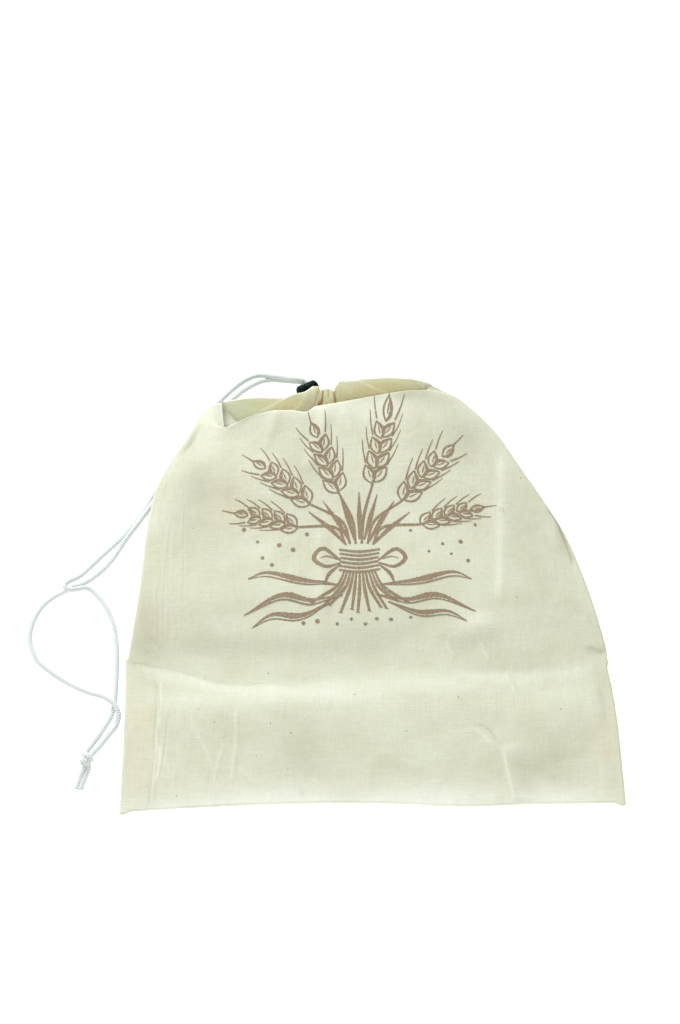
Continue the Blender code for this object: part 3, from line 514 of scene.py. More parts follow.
# Stitches of the hems: the section that each row is in and how far past it. Then the seed flecks.
FRONT_STITCHED = ("brow", 0.6)
BACK_STITCHED = ("turn", 0.42)
THREAD_RADIUS = 0.17
THREAD_SIDES = 6
THREAD_PROUD = 0.45
STITCH = 2.4
STITCH_GAP = 0.9
STITCH_STEP = 0.3
STITCH_SUNK = 0.30
FLECK_SIDES = 10
FLECK_SIZES = (0.28, 0.55)
FLECK_MIDDLE = 0.10
FLECK_EDGE = 0.03

# Colours of the cotton: light, deep, warm (its tint and painted warm shade), pale (painted light), shaded
# (painted shade)
FACE_COLOURS = (
    (0.745, 0.762, 0.612), (0.685, 0.694, 0.528), (0.745, 0.718, 0.545), (0.93, 0.955, 0.85),
        (0.385, 0.39, 0.295)
)
# The back's inner face: a brighter, warmer copy of the cotton, painted light and painted warm shade
INSIDE_COLOURS_PAINTED_BRIGHTER = (
    (0.765, 0.80, 0.665), (0.72, 0.75, 0.61), (0.84, 0.69, 0.45), (0.88, 0.89, 0.78), (0.50, 0.31, 0.15)
)
SPECK_COLOUR = (0.28, 0.24, 0.12)
WEAVE_PITCH = 0.58

# Floor, lamps and camera. The lamps are in metres and watts: place, target, size, power, colour.
FLOOR_HEIGHT = -0.0004
SOFTBOXES = (
    ("key", (-0.82, 1.48, 0.863), (-0.02, 0.0, 0.0), (0.9, 0.9), 36.0, (0.97, 0.99, 1.0)),
    ("fill", (0.2, -0.92, 1.71), (0.0, 0.1, 0.0), (0.8, 0.8), 6.5, (1.0, 0.985, 0.94)),
    ("low_fill", (0.1, -1.8, 0.45), (0.0, -0.1, 0.0), (2.0, 0.6), 6.0, (1.0, 0.99, 0.96)),
)
LENS = 62.06
CAMERA_AT = Vector((-21.5, -586.0, 1125.8))
CAMERA_AIM = Vector((-21.5, 64.0, 0.0))


def column(table, columns, name):
    place = columns.index(name)
    return np.array([row[place] for row in table], float)


def smooth(values, at):
    """A curve through evenly numbered values that never overshoots them."""
    steps = np.diff(values)
    slopes = np.zeros(len(values))
    same_way = steps[:-1] * steps[1:] > 0
    products = (steps[:-1] * steps[1:])[same_way]
    sums = (steps[:-1] + steps[1:])[same_way]
    slopes[1:-1][same_way] = 2 * products / sums
    slopes[0] = steps[0]
    slopes[-1] = steps[-1]
    first = np.clip(np.floor(at).astype(int), 0, len(values) - 2)
    part = at - first
    low, high = values[first], values[first + 1]
    return (
        low * (1 + 2 * part) * (1 - part) ** 2
        + slopes[first] * part * (1 - part) ** 2
        + high * part**2 * (3 - 2 * part)
        + slopes[first + 1] * part**2 * (part - 1)
    )


def smooth_along(table, columns, x_name, y_name, x):
    xs = column(table, columns, x_name)
    return smooth(column(table, columns, y_name), np.interp(x, xs, np.arange(len(xs))))


def mix(low, high, part):
    return low + (high - low) * part


def ease(part):
    return np.sin(np.clip(part, 0, 1) * math.pi / 2)


def soft_step(part):
    part = np.clip(part, 0, 1)
    return part * part * (3 - 2 * part)


def window(part, rise):
    """1 along a stretch, falling to 0 at both of its ends."""
    return soft_step(part / rise) * soft_step((1 - part) / rise)


def arch(part, rise_left, rise_right):
    return ease(part / rise_left) * ease((1 - part) / rise_right)


def unit(vectors):
    return vectors / np.maximum(np.linalg.norm(vectors, axis=-1, keepdims=True), 1e-9)


def gone_along(line):
    """How far along a line each of its points lies."""
    return np.concatenate([[0], np.cumsum(np.linalg.norm(np.diff(line, axis=0), axis=1))])


def stations(table, columns):
    """Section numbers of the mesh rows. The first stretch has its rows close at the bottom seam."""
    at = [0.0]
    for number, steps in enumerate(column(table, columns, "steps")[:-1]):
        shares = (np.arange(int(steps)) + 1) / steps
        at.extend(number + (shares if number else shares**BOTTOM_CROWDING))
    return np.array(at)


def section_number(table, name):
    return [row[0] for row in table].index(name)


def outward(left_x, left_y, right_x, right_y):
    """Directions square out of the outline at each row, on its left and on its right."""
    directions = []
    for x, y, side in ((left_x, left_y, -1), (right_x, right_y, 1)):
        along = unit(np.stack([np.gradient(x), np.gradient(y)], 1))
        directions.append(side * np.stack([along[:, 1], -along[:, 0]], 1))
    return directions


def seam_points(table, columns, side):
    """Where a side seam runs at each section: along the outline where the bag is flat, then as SEAM says."""
    x, y = column(table, columns, side + "_x"), column(table, columns, side + "_y")
    points = np.stack([x, y, np.full(len(x), SEAM_LIFT + SHEET / 2)], 1)
    sewn = [row[0] for row in SEAM]
    for number, row in enumerate(table):
        known = SEWN_AS.get(row[0], row[0])
        if known in sewn:
            seam = SEAM[sewn.index(known)]
            points[number] = [seam[SEAM_COLUMNS.index(side + axis)] for axis in ("_x", "_y", "_z")]
    return points


def side_run(edge, out, curl, radius, turn, seam):
    """One side of a section: the front wraps down over the back's edge where the bag is flat, and
    both turn under to the seam where it is full."""
    straight = FLAT_SEAM_RUN * (1 - curl)
    length = straight + math.pi * curl * radius
    turned_under = []
    for step in range(1, FOLD_STEPS + 1):
        gone = length * step / FOLD_STEPS
        bent = max(0.0, gone - straight) / radius
        reach = min(gone, straight) + radius * math.sin(bent)
        lift = turn * radius * (1 - math.cos(bent))
        turned_under.append([edge[0] + out[0] * reach, edge[1] + out[1] * reach, edge[2] + lift])
    start = np.array(turned_under[-1])
    for step in range(1, TUCK_STEPS + 1):
        turned_under.append(mix(start, seam, step / TUCK_STEPS))
    flat = []
    whole = FLAT_SEAM_REACH - SHEET / 2 if turn < 0 else FLAT_SEAM_REACH - SHEET - WRAP_CLEAR
    level = whole - EDGE_ROUND
    for step in range(1, SIDE_STEPS + 1):
        if step <= FOLD_STEPS:
            reach, fall = level * step / FOLD_STEPS, 0.0
        else:
            bend = math.pi / 2 * (step - FOLD_STEPS) / TUCK_STEPS
            reach = level + EDGE_ROUND * math.sin(bend)
            fall = (edge[2] - SHEET / 2) * (1 - math.cos(bend))
        flat.append([edge[0] + out[0] * reach, edge[1] + out[1] * reach, edge[2] - fall])
    return mix(np.array(flat), np.array(turned_under), float(soft_step(curl / FULL_CURL)))


def panel_sections(face_row, table, columns, radius, turn, shares):
    """Rows of points across a whole panel, seam to seam, one row for each station."""
    at = stations(table, columns)
    outline = {name: smooth(column(table, columns, name), at) for name in columns[2:6]}
    sides = []
    for side, out in zip(("left", "right"), outward(*outline.values())):
        curl = smooth(column(table, columns, side + "_curl"), at)
        reach = mix(FLAT_SEAM_REACH, radius, curl)
        edge = np.stack([outline[side + "_x"], outline[side + "_y"]], 1) - out * reach[:, None]
        known = seam_points(table, columns, side)
        seam = np.stack([smooth(known[:, axis], at) for axis in range(3)], 1)
        sides.append((edge, out, curl, seam - (0, 0, turn * SEAM_LIFT)))
    rows = []
    for number, station in enumerate(at):
        face = face_row(station, sides[0][0][number], sides[1][0][number], shares(station))
        left, right = (
            side_run(corner, out[number], curl[number], radius, turn, seam[number])
            for corner, (_, out, curl, seam) in zip((face[0], face[-1]), sides)
        )
        rows.append(np.concatenate([left[::-1], face, right]))
    return np.array(rows), at


def bottom_wave(part):
    rise = BOTTOM_RISE * np.sin(math.pi * np.clip(part / BOTTOM_RISE_SHARE, 0, 1))
    return rise - BOTTOM_SAG * np.exp(-(((part - BOTTOM_SAG_AT) / BOTTOM_SAG_WIDTH) ** 2))


def fold_bow(x, part):
    """How far the packing fold runs off the straight line between the kinks of the outline."""
    path = np.array(CREASE_PATHS["packing_fold"], float)
    kinks = FRONT[section_number(FRONT, "crease")]
    straight = mix(*(kinks[FRONT_COLUMNS.index(name)] for name in ("left_y", "right_y")), part)
    return (np.interp(x, path[:, 0], path[:, 1]) - straight) * window(part, FOLD_BOW_RISE)


def front_face(station, left, right, part):
    read = {name: smooth(column(FRONT, FRONT_COLUMNS, name), station) for name in FRONT_COLUMNS[6:]}
    low, waist, collar = (section_number(FRONT, name) for name in ("low", "waist", "collar"))
    x = mix(left[0], right[0], part)
    y = mix(left[1], right[1], part)
    y = y - mix(read["dip_left"], read["dip_right"], part) * arch(part, read["dip_rise"], read["dip_rise"])
    y = y + soft_step(station - collar) * smooth_along(CREST_BEND, BEND_COLUMNS, "x", "forward", x)
    y = y + bottom_wave(part) * soft_step(1 - station)
    y = y + fold_bow(x, part) * soft_step(station - low) * soft_step(waist - station)
    edge = mix(read["edge_left"], read["edge_right"], part)
    z = edge + (read["crown"] - edge) * arch(part, read["rise_left"], read["rise_right"])
    return np.stack([x, y, z], 1)


def front_shares():
    """Shares of the way across the front, closer together where the sharp creases run."""
    fine = np.linspace(0, 1, 2001)
    density = np.ones(len(fine))
    for start, end, extra in CREASED:
        risen = soft_step((fine - start) / CREASED_RISE + 0.5)
        density += extra * risen * soft_step((end - fine) / CREASED_RISE + 0.5)
    gone = np.concatenate([[0], np.cumsum(density[1:] + density[:-1])])
    return np.interp(np.linspace(0, 1, FRONT_STEPS + 1), gone / gone[-1], fine)


def back_shares(station):
    """Shares of the way across the back: even low down, and most of them in the gathers at the mouth."""
    part = np.linspace(0, 1, BACK_STEPS + 1)
    even = part - SIDE_CROWDING * np.sin(2 * math.pi * part)
    lip_x = column(LIP, LIP_COLUMNS, "x")
    width = lip_x[-1] - lip_x[0]
    corner = LIP_CORNER / width
    low, high = ((edge - lip_x[0]) / width for edge in (GATHER_LEFT, GATHER_RIGHT))
    known = (0, CORNER_COLUMN, *GATHER_COLUMNS, 1 - CORNER_COLUMN, 1)
    gathered = np.interp(part, known, (0, corner, low, high, 1 - corner, 1))
    start = section_number(BACK, "shoulder")
    end = section_number(BACK, "turn") + GATHER_REACH
    return mix(even, gathered, soft_step((station - start) / (end - start)))


def in_gathers(x):
    return window((x - GATHER_LEFT) / (GATHER_RIGHT - GATHER_LEFT), GATHER_FADE)


def gathers(x, risen):
    """How deep in a valley between two gathered folds a point is, 0 to 1, and the height of its fold."""
    upright = GATHER_MIDDLE + (x - GATHER_MIDDLE) / (1 + GATHER_FAN * (1 - risen))
    numbers = np.arange(len(GATHER_VALLEYS))
    number = np.interp(upright, GATHER_VALLEYS, numbers)
    upright = upright - np.interp(number, numbers, GATHER_LEANS) * (1 - risen)
    number = np.interp(upright, GATHER_VALLEYS, numbers)
    nearest = np.round(number).astype(int)
    grown = soft_step((risen - GATHER_SHORT_FROM) / GATHER_SHORT_RISE)
    share = np.array(GATHER_SHARES)[nearest] * np.where(nearest == GATHER_SHORT, grown, 1.0)
    valley = (1 - np.abs(np.sin(math.pi * number))) * share
    fold = np.clip(np.floor(number).astype(int), 0, len(GATHER_TOPS) - 1)
    return valley, np.array(GATHER_TOPS)[fold] * np.clip(1 - valley, 0, 1)


def wing_folds(x, risen):
    """Forward lift, at this height, of the folds pressed into the standing back edge."""
    lift = np.zeros(len(x))
    for forward, sharp, fade, risens, places in WING_FOLDS:
        if risens[0] - WING_ONSET < risen:
            away = x - np.interp(risen, risens, places)
            shown = float(soft_step((risen - risens[0] + WING_ONSET) / WING_ONSET))
            lift += forward * shown * soft_step(away / sharp + 0.5) * np.exp(-np.clip(away, 0, None) / fade)
    return lift


def back_face(station, left, right, part):
    x = mix(left[0], right[0], part)
    y = mix(left[1], right[1], part) + bottom_wave(part) * soft_step(1 - station)
    z = np.full(len(x), SHEET / 2)
    turn = section_number(BACK, "turn")
    if station > turn:
        risen = station - turn
        turn_y = mix(*(column(BACK, BACK_COLUMNS, name)[turn] for name in ("left_y", "right_y")), part)
        turn_y = turn_y + TURN_BOW * np.sin(math.pi * part)
        y = mix(turn_y, smooth_along(LIP, LIP_COLUMNS, "x", "y", x), risen**TURN_LEAN)
        z = mix(z, smooth_along(LIP, LIP_COLUMNS, "x", "z", x), risen**TURN_ROUND)
        inside = in_gathers(x)
        valley, top = gathers(x, risen)
        depth = GATHER_DEPTH * (1 - GATHER_SHALLOW * risen**3) * soft_step(risen / GATHER_RISE)
        y = y + depth * inside * (valley**1.5 - GATHER_FORWARD)
        z = z + inside * (top - GATHER_NOTCH * valley**2) * risen**2
        y = y - wing_folds(x, risen)
    return np.stack([x, y, z], 1)


def plan_curve(points, samples=5):
    """A smooth plan curve through 2D points."""
    route = [Vector((x, y, 0)) for x, y in points]
    return np.array([(point.x, point.y) for point in through_points(route, samples)])


def crease_height(x, y, height, left_width, right_width, points):
    """Height of one crease over the cloth at plan points, fading out at both of its ends. Its points
    are its path, or the name of the crease that has the same path."""
    path = plan_curve(CREASE_PATHS.get(points, points))
    gone = gone_along(path)
    reach = 3 * max(left_width, right_width)
    low, high = path.min(0) - reach, path.max(0) + reach
    near = (x > low[0]) & (x < high[0]) & (y > low[1]) & (y < high[1])
    result = np.zeros(x.shape)
    if not near.any():
        return result
    px, py = x[near], y[near]
    best = np.full(len(px), 1e9)
    side, along = np.zeros(len(px)), np.zeros(len(px))
    for number in range(len(path) - 1):
        start, run = path[number], path[number + 1] - path[number]
        length = np.linalg.norm(run)
        run = run / length
        dx, dy = px - start[0], py - start[1]
        part = np.clip(dx * run[0] + dy * run[1], 0, length)
        away = np.hypot(dx - part * run[0], dy - part * run[1])
        closer = away < best
        best[closer] = away[closer]
        side[closer] = (run[0] * dy - run[1] * dx)[closer]
        along[closer] = (gone[number] + part)[closer]
    width = np.where(side > 0, left_width, right_width)
    result[near] = height * np.exp(-((best / width) ** 2)) * window(along / gone[-1], CREASE_FADE)
    return result


def soft_patch(x, y, middle_x, middle_y, reach_x, reach_y, turn=0.0):
    turn = math.radians(turn)
    across = (x - middle_x) * math.cos(turn) + (y - middle_y) * math.sin(turn)
    along = (y - middle_y) * math.cos(turn) - (x - middle_x) * math.sin(turn)
    return np.exp(-((across / reach_x) ** 2) - (along / reach_y) ** 2)


def ripples(x, y, seed, count, shortest, longest, height):
    """Faint unevenness, a sum of long waves in many directions."""
    chance = np.random.default_rng(seed)
    result = np.zeros(x.shape)
    for _ in range(count):
        length = chance.uniform(shortest, longest)
        angle = chance.uniform(0, 2 * math.pi)
        phase = chance.uniform(0, 2 * math.pi)
        wave = (x * math.cos(angle) + y * math.sin(angle)) * 2 * math.pi / length
        result += np.sin(wave + phase) * length / longest
    return result * height / math.sqrt(count)


def grid_normals(grid):
    return unit(np.cross(np.gradient(grid, axis=1), np.gradient(grid, axis=0)))


def face_of(grid):
    """The columns of the face, without the two side runs."""
    return grid[:, SIDE_STEPS : grid.shape[1] - SIDE_STEPS]


def flat_places(grid):
    """Where each point lies on the flat cloth, across from the print's middle and along from y = 0."""
    across = np.linalg.norm(np.diff(grid, axis=1), axis=2)
    across = np.concatenate([np.zeros((len(grid), 1)), np.cumsum(across, axis=1)], 1)
    rows = zip(face_of(grid), face_of(across))
    zero = np.array([np.interp(PRINT_X, row[:, 0], place) for row, place in rows])
    middle = grid[:, grid.shape[1] // 2]
    along = gone_along(middle)
    along -= np.interp(0, middle[:, 1], along)
    return across - zero[:, None], np.repeat(along[:, None], grid.shape[1], 1)


def linked(name, data):
    """A new object in the scene."""
    obj = bpy.data.objects.new(name, data)
    bpy.context.scene.collection.objects.link(obj)
    return obj


def mesh_object(name, points, faces, finishes, flat=None):
    """A smooth mesh of points in metres. flat is the place on the flat cloth of each corner of each face."""
    mesh = bpy.data.meshes.new(name)
    mesh.from_pydata(np.asarray(points).tolist(), [], faces)
    if flat is not None:
        layer = mesh.uv_layers.new(name="cloth")
        layer.data.foreach_set("uv", flat.astype(np.float32).ravel())
    for finish in finishes:
        mesh.materials.append(finish)
    mesh.shade_smooth()
    return linked(name, mesh)


def at_corners(faces, places):
    """The places of points, listed for each corner of each face."""
    return np.array(places)[[corner for face in faces for corner in face]]


def sheet_object(name, grid, places, tones, finishes, upper_finish=0):
    """A closed thin sheet round a grid of middle points, its under side at half the steps."""
    rows, columns = grid.shape[:2]
    half = grid_normals(grid) * SHEET / 2

    def both(upper, under):
        size = upper.shape[2:] or (1,)
        return np.concatenate([upper.reshape(-1, *size), under[::2, ::2].reshape(-1, *size)])

    top = np.arange(rows * columns).reshape(rows, columns)
    low = top.size + np.arange(top[::2, ::2].size).reshape(top[::2, ::2].shape)
    quads = (
        (top[:-1, :-1], top[:-1, 1:], top[1:, 1:], top[1:, :-1]),
        (low[1:, :-1], low[1:, 1:], low[:-1, 1:], low[:-1, :-1]),
    )
    faces = np.concatenate([np.stack([corner.ravel() for corner in quad], 1) for quad in quads]).tolist()
    rims = (
        (top[0], low[0]), (top[-1, ::-1], low[-1, ::-1]),
        (top[::-1, 0], low[::-1, 0]), (top[:, -1], low[:, -1]),
    )
    for high, below in rims:
        for number in range(len(below) - 1):
            start, middle, end = high[2 * number : 2 * number + 3].tolist()
            first, last = below[number : number + 2].tolist()
            faces += [[middle, start, first], [end, middle, last], [middle, first, last]]
    flat = np.stack(places, 2)
    corners = at_corners(faces, both(flat, flat))
    obj = mesh_object(name, both(grid + half, grid - half) * MM, faces, finishes, corners)
    for label, values in tones.items():
        layer = obj.data.attributes.new(label, "FLOAT", "POINT")
        layer.data.foreach_set("value", both(values, values).astype(np.float32).ravel())
    index = np.zeros(len(faces), np.int32)
    index[: (rows - 1) * (columns - 1)] = upper_finish
    obj.data.polygons.foreach_set("material_index", index)
    obj.data.set_sharp_from_angle(angle=SHARP_CLOTH)
    return obj


def through_points(points, samples):
    """A smooth curve through route points, with a number of samples for each reach between two of them."""
    route = [Vector(point) for point in points]
    route = [2 * route[0] - route[1]] + route + [2 * route[-1] - route[-2]]
    curve = []
    for number in range(1, len(route) - 2):
        before, start, end, after = route[number - 1 : number + 3]
        second = 2 * before - 5 * start + 4 * end - after
        third = 3 * start - before - 3 * end + after
        for step in range(samples):
            part = step / samples
            curve.append(0.5 * (2 * start + (end - before) * part + second * part**2 + third * part**3))
    curve.append(route[-2])
    return curve


def evenly(line, step):
    """Points at even distances along a line of points, and how far along it each of them lies."""
    line = np.array([tuple(point) for point in line])
    gone = gone_along(line)
    wanted = np.linspace(0, gone[-1], max(2, int(round(gone[-1] / step)) + 1))
    return np.stack([np.interp(wanted, gone, line[:, axis]) for axis in range(3)], 1), wanted


def softened(line, rounds):
    for _ in range(rounds):
        line[1:-1] = (line[:-2] + 2 * line[1:-1] + line[2:]) / 4
    return line


def moving_frames(line):
    """Two directions square to a line at each of its points, that turn with it and never twist, and
    the line's own direction."""
    tangents = unit(np.gradient(line, axis=0))
    first = np.cross(tangents[0], [0.0, 0.0, 1.0])
    if np.linalg.norm(first) < 0.1:
        first = np.cross(tangents[0], [1.0, 0.0, 0.0])
    normals = [first / np.linalg.norm(first)]
    for tangent in tangents[1:]:
        normal = normals[-1] - tangent * np.dot(normals[-1], tangent)
        normals.append(normal / np.linalg.norm(normal))
    normals = np.array(normals)
    return normals, np.cross(tangents, normals), tangents


def braided(name, line, gone, radii, finish, start=0.0):
    """A round braided cord along a line of even points, closed with a rounded end at each side. Its
    braid goes on from that far along."""
    normals, others, tangents = moving_frames(line)
    around = np.linspace(0, 2 * math.pi, BRAID_SIDES, endpoint=False)
    turn = 2 * math.pi * gone[:, None] / BRAID_PITCH / BRAID_STARTS
    left = BRAID_STARTS * (around[None] + turn)
    right = BRAID_STARTS * (around[None] - turn)
    over = np.sin(left / 2 + right / 2) * np.sin(left / 2 - right / 2)
    yarn = np.abs(np.cos(left / 2)) * (1 + over) / 2 + np.abs(np.cos(right / 2)) * (1 - over) / 2
    ribs = np.abs(np.cos(math.pi * gone / BRAID_PITCH))[:, None]
    radius = radii[:, None] - BRAID_RELIEF * (1 - yarn) - CORD_RIB * (1 - ribs)
    ring = np.cos(around)[None, :, None] * normals[:, None] + np.sin(around)[None, :, None] * others[:, None]
    count, sides = radius.shape
    tips = [line[end] + way * tangents[end] * radii[end] * BRAID_TIP for end, way in ((0, -1), (-1, 1))]
    points = np.concatenate([(line[:, None] + ring * radius[:, :, None]).reshape(-1, 3), tips]) * MM
    number = np.arange(count * sides).reshape(count, sides)
    after = np.roll(number, -1, axis=1)
    quads = np.stack([part.ravel() for part in (number[:-1], after[:-1], after[1:], number[1:])], 1).tolist()
    first, last = count * sides, count * sides + 1
    caps = [[first, b, a] for a, b in zip(number[0].tolist(), after[0].tolist())]
    caps += [[last, a, b] for a, b in zip(number[-1].tolist(), after[-1].tolist())]
    places = np.stack([np.tile(around, count), np.repeat(gone, sides)], 1)
    places = np.concatenate([places, [(0, 0), (0, gone[-1])]]) + (0, start)
    flat = at_corners(quads + caps, places)
    across = flat[: 4 * len(quads), 0].reshape(-1, 4)
    behind_seam = (np.ptp(across, axis=1) > math.pi)[:, None] & (across < math.pi)
    flat[: 4 * len(quads), 0] += 2 * math.pi * behind_seam.ravel()
    return mesh_object(name, points, quads + caps, (finish,), flat)


def cord_radii(line):
    """Thinner where the lock squeezes the cord."""
    away = np.linalg.norm(line - np.array(LOCK_CENTRE), axis=1)
    squeezed = 1 - soft_step((away - LOCK_DIAMETER * LOCK_GRIP) / LOCK_GRIP_FADE)
    return mix(CORD_OVER_YARNS / 2, CORD_SQUEEZED / 2, squeezed)


def laid(points):
    """An even line along a route, raised so that the cord rests where the thinner one of the route does."""
    line, gone = evenly(through_points(points, ROUTE_SAMPLES), BRAID_STEP)
    line[:, 2] += (CORD_OVER_YARNS - CORD_ROUTED) / 2
    return line, gone


def strand(name, route, finish):
    line, gone = laid(route)
    return braided(name, line, gone, cord_radii(line), finish), line


def tail(name, route, finish):
    line, gone = laid(route)
    radii = np.full(len(line), CORD_OVER_YARNS / 2)
    radii[-len(TAIL_TAPER) :] *= TAIL_TAPER
    return braided(name, line, gone, radii, finish, BRAID_PAST_LOCK)


def knot_line():
    """The tight overhand knot: in at the top, twice round the core across the strands, and out below."""
    points = [(0.2, 1.6, 0.0), (-0.6, 2.9, 0.0)]
    for step in range(KNOT_STEPS + 1):
        part = step / KNOT_STEPS
        angle = 2 * math.pi * KNOT_TURNS * part + math.radians(200)
        swell = math.sin(math.pi * part) ** 0.5
        radius = KNOT_CORE + KNOT_SWELL * swell
        along = mix(KNOT_REACH, -KNOT_REACH, part) - KNOT_SLANT * math.cos(angle) * swell
        points.append((radius * math.cos(angle), along, radius * math.sin(angle)))
    points += [(0.6, -2.8, 0.0), (0, -1.4, 0)]
    place = Matrix.Translation(KNOT_CENTRE) @ Matrix.Rotation(KNOT_ANGLE, 4, "Z")
    return np.array([tuple(place @ Vector(point)) for point in points])


def turned(name, profile, finish, steps=96):
    """A profile of radii and heights turned about Z."""
    mesh = bpy.data.meshes.new(name)
    edges = [(number, number + 1) for number in range(len(profile) - 1)]
    mesh.from_pydata([(radius * MM, 0, height * MM) for radius, height in profile], edges, [])
    mesh.materials.append(finish)
    obj = linked(name, mesh)
    screw = obj.modifiers.new("turn", "SCREW")
    screw.axis = "Z"
    screw.steps = screw.render_steps = steps
    screw.use_merge_vertices = True
    screw.merge_threshold = 0.000001
    screw.use_smooth_shade = True
    return obj


def slot_cutter(name, low, high):
    """The cross hole for the strands, from one height to another, with rounded long edges."""
    build = bmesh.new()
    bmesh.ops.create_cube(build, size=1)
    size = Vector((4 * LOCK_DIAMETER, LOCK_HOLE_HEIGHT, high - low)) * MM
    bmesh.ops.scale(build, vec=size, verts=build.verts)
    bmesh.ops.translate(build, vec=Vector((0, 0, (low + high) / 2)) * MM, verts=build.verts)
    long_edges = [edge for edge in build.edges if abs(edge.verts[0].co.x - edge.verts[1].co.x) > size.x / 2]
    offset = SLOT_ROUND * LOCK_HOLE_WIDTH * MM
    bmesh.ops.bevel(build, geom=long_edges, offset=offset, segments=8, profile=0.5, affect="EDGES")
    mesh = bpy.data.meshes.new(name)
    build.to_mesh(mesh)
    build.free()
    return linked(name, mesh)


def dome(radius, base, rise, steps=14):
    angles = [math.pi / 2 * step / steps for step in range(steps + 1)]
    return [(radius * math.sin(angle), base + rise * math.cos(angle)) for angle in angles]


def lock_frame():
    up = Vector((0, 0, 1))
    strands = up.cross(LOCK_AXIS).normalized()
    turn = Matrix((strands, LOCK_AXIS.cross(strands), LOCK_AXIS)).transposed()
    return Matrix.Translation(LOCK_CENTRE * MM) @ turn.to_4x4()


def cut_and_apply(obj, cutter):
    """The slot cut through, all edges softened, and the result kept as a plain mesh."""
    obj.matrix_world = lock_frame()
    cutter.matrix_world = lock_frame()
    boolean = obj.modifiers.new("cut", "BOOLEAN")
    boolean.operation = "DIFFERENCE"
    boolean.object = cutter
    boolean.solver = "EXACT"
    bevel = obj.modifiers.new("soft_edges", "BEVEL")
    bevel.width = LOCK_SOFT_EDGE * MM
    bevel.segments = 2
    bevel.limit_method = "ANGLE"
    bevel.angle_limit = LOCK_SOFT_ANGLE
    bpy.context.view_layer.update()
    shaped = obj.evaluated_get(bpy.context.evaluated_depsgraph_get())
    mesh = bpy.data.meshes.new_from_object(shaped)
    obj.modifiers.clear()
    obj.data = mesh
    mesh.shade_smooth()
    mesh.set_sharp_from_angle(angle=LOCK_SHARP)
    bpy.data.objects.remove(cutter, do_unlink=True)


def cord_lock(body_finish, button_finish):
    """The lock's body, open at the rim, and the button in it, whose head has a skirt over that rim."""
    half_hole = LOCK_HOLE_WIDTH / 2
    rim = half_hole + LOCK_TRAVEL
    stem_end = -half_hole - LOCK_BAR
    floor_height = stem_end - LOCK_TRAVEL - LOCK_CLEARANCE
    radius, bore, stem = LOCK_DIAMETER / 2, LOCK_BORE / 2, LOCK_STEM / 2
    body_profile = dome(radius, floor_height + LOCK_BASE_SIDE, -LOCK_BASE_DOME)
    body_profile += [(radius, rim - LOCK_EDGE), (radius - LOCK_EDGE, rim)]
    body_profile += [(bore, rim), (bore, floor_height), (0, floor_height)]
    body = turned("cord_lock_body", body_profile, body_finish)
    cut_and_apply(body, slot_cutter("body_slot", -half_hole, half_hole))
    head, head_low = radius - LOCK_HEAD_INSET, rim + LOCK_TRAVEL + LOCK_CLEARANCE
    skirt, inner = rim + LOCK_SKIRT_GAP, radius + LOCK_SKIRT_LOOSE
    button_profile = dome(head, head_low + LOCK_HEAD_SIDE, LOCK_HEAD_DOME)
    button_profile += [(head, skirt), (inner, skirt), (inner, head_low)]
    button_profile += [(stem, head_low), (stem, stem_end), (0, stem_end)]
    button = turned("cord_lock_button", button_profile, button_finish)
    cut_and_apply(button, slot_cutter("button_slot", -half_hole, rim))
    return body, button


def place_among(value, known):
    """The number of the known value below this one, and how far on it is towards the next."""
    place = float(np.clip(np.interp(value, known, np.arange(len(known))), 0, len(known) - 1.001))
    return int(place), place - int(place)


class Cloth:
    """The outer face of the finished front, read by flat place or by plan place."""

    def __init__(self, grid, places):
        self.top = face_of(grid + grid_normals(grid) * SHEET / 2)
        self.normal = face_of(grid_normals(grid))
        self.across = face_of(places[0])
        self.along = places[1][:, 0]

    def at(self, u, v, lift):
        """The point over a flat place, that far off the cloth."""
        low, part = place_among(v, self.along)
        found = []
        for row in (low, low + 1):
            left, beyond = place_among(u, self.across[row])
            layers = (self.top, self.normal)
            found.append([mix(layer[row, left], layer[row, left + 1], beyond) for layer in layers])
        point, normal = (mix(before, after, part) for before, after in zip(*found))
        return point + normal / np.linalg.norm(normal) * lift

    def under(self, x, y):
        """The flat place of a plan place."""
        gap = (self.top[:, :, 0] - x) ** 2 + (self.top[:, :, 1] - y) ** 2
        row, place = np.unravel_index(int(gap.argmin()), gap.shape)
        return self.across[row, place], self.along[row]


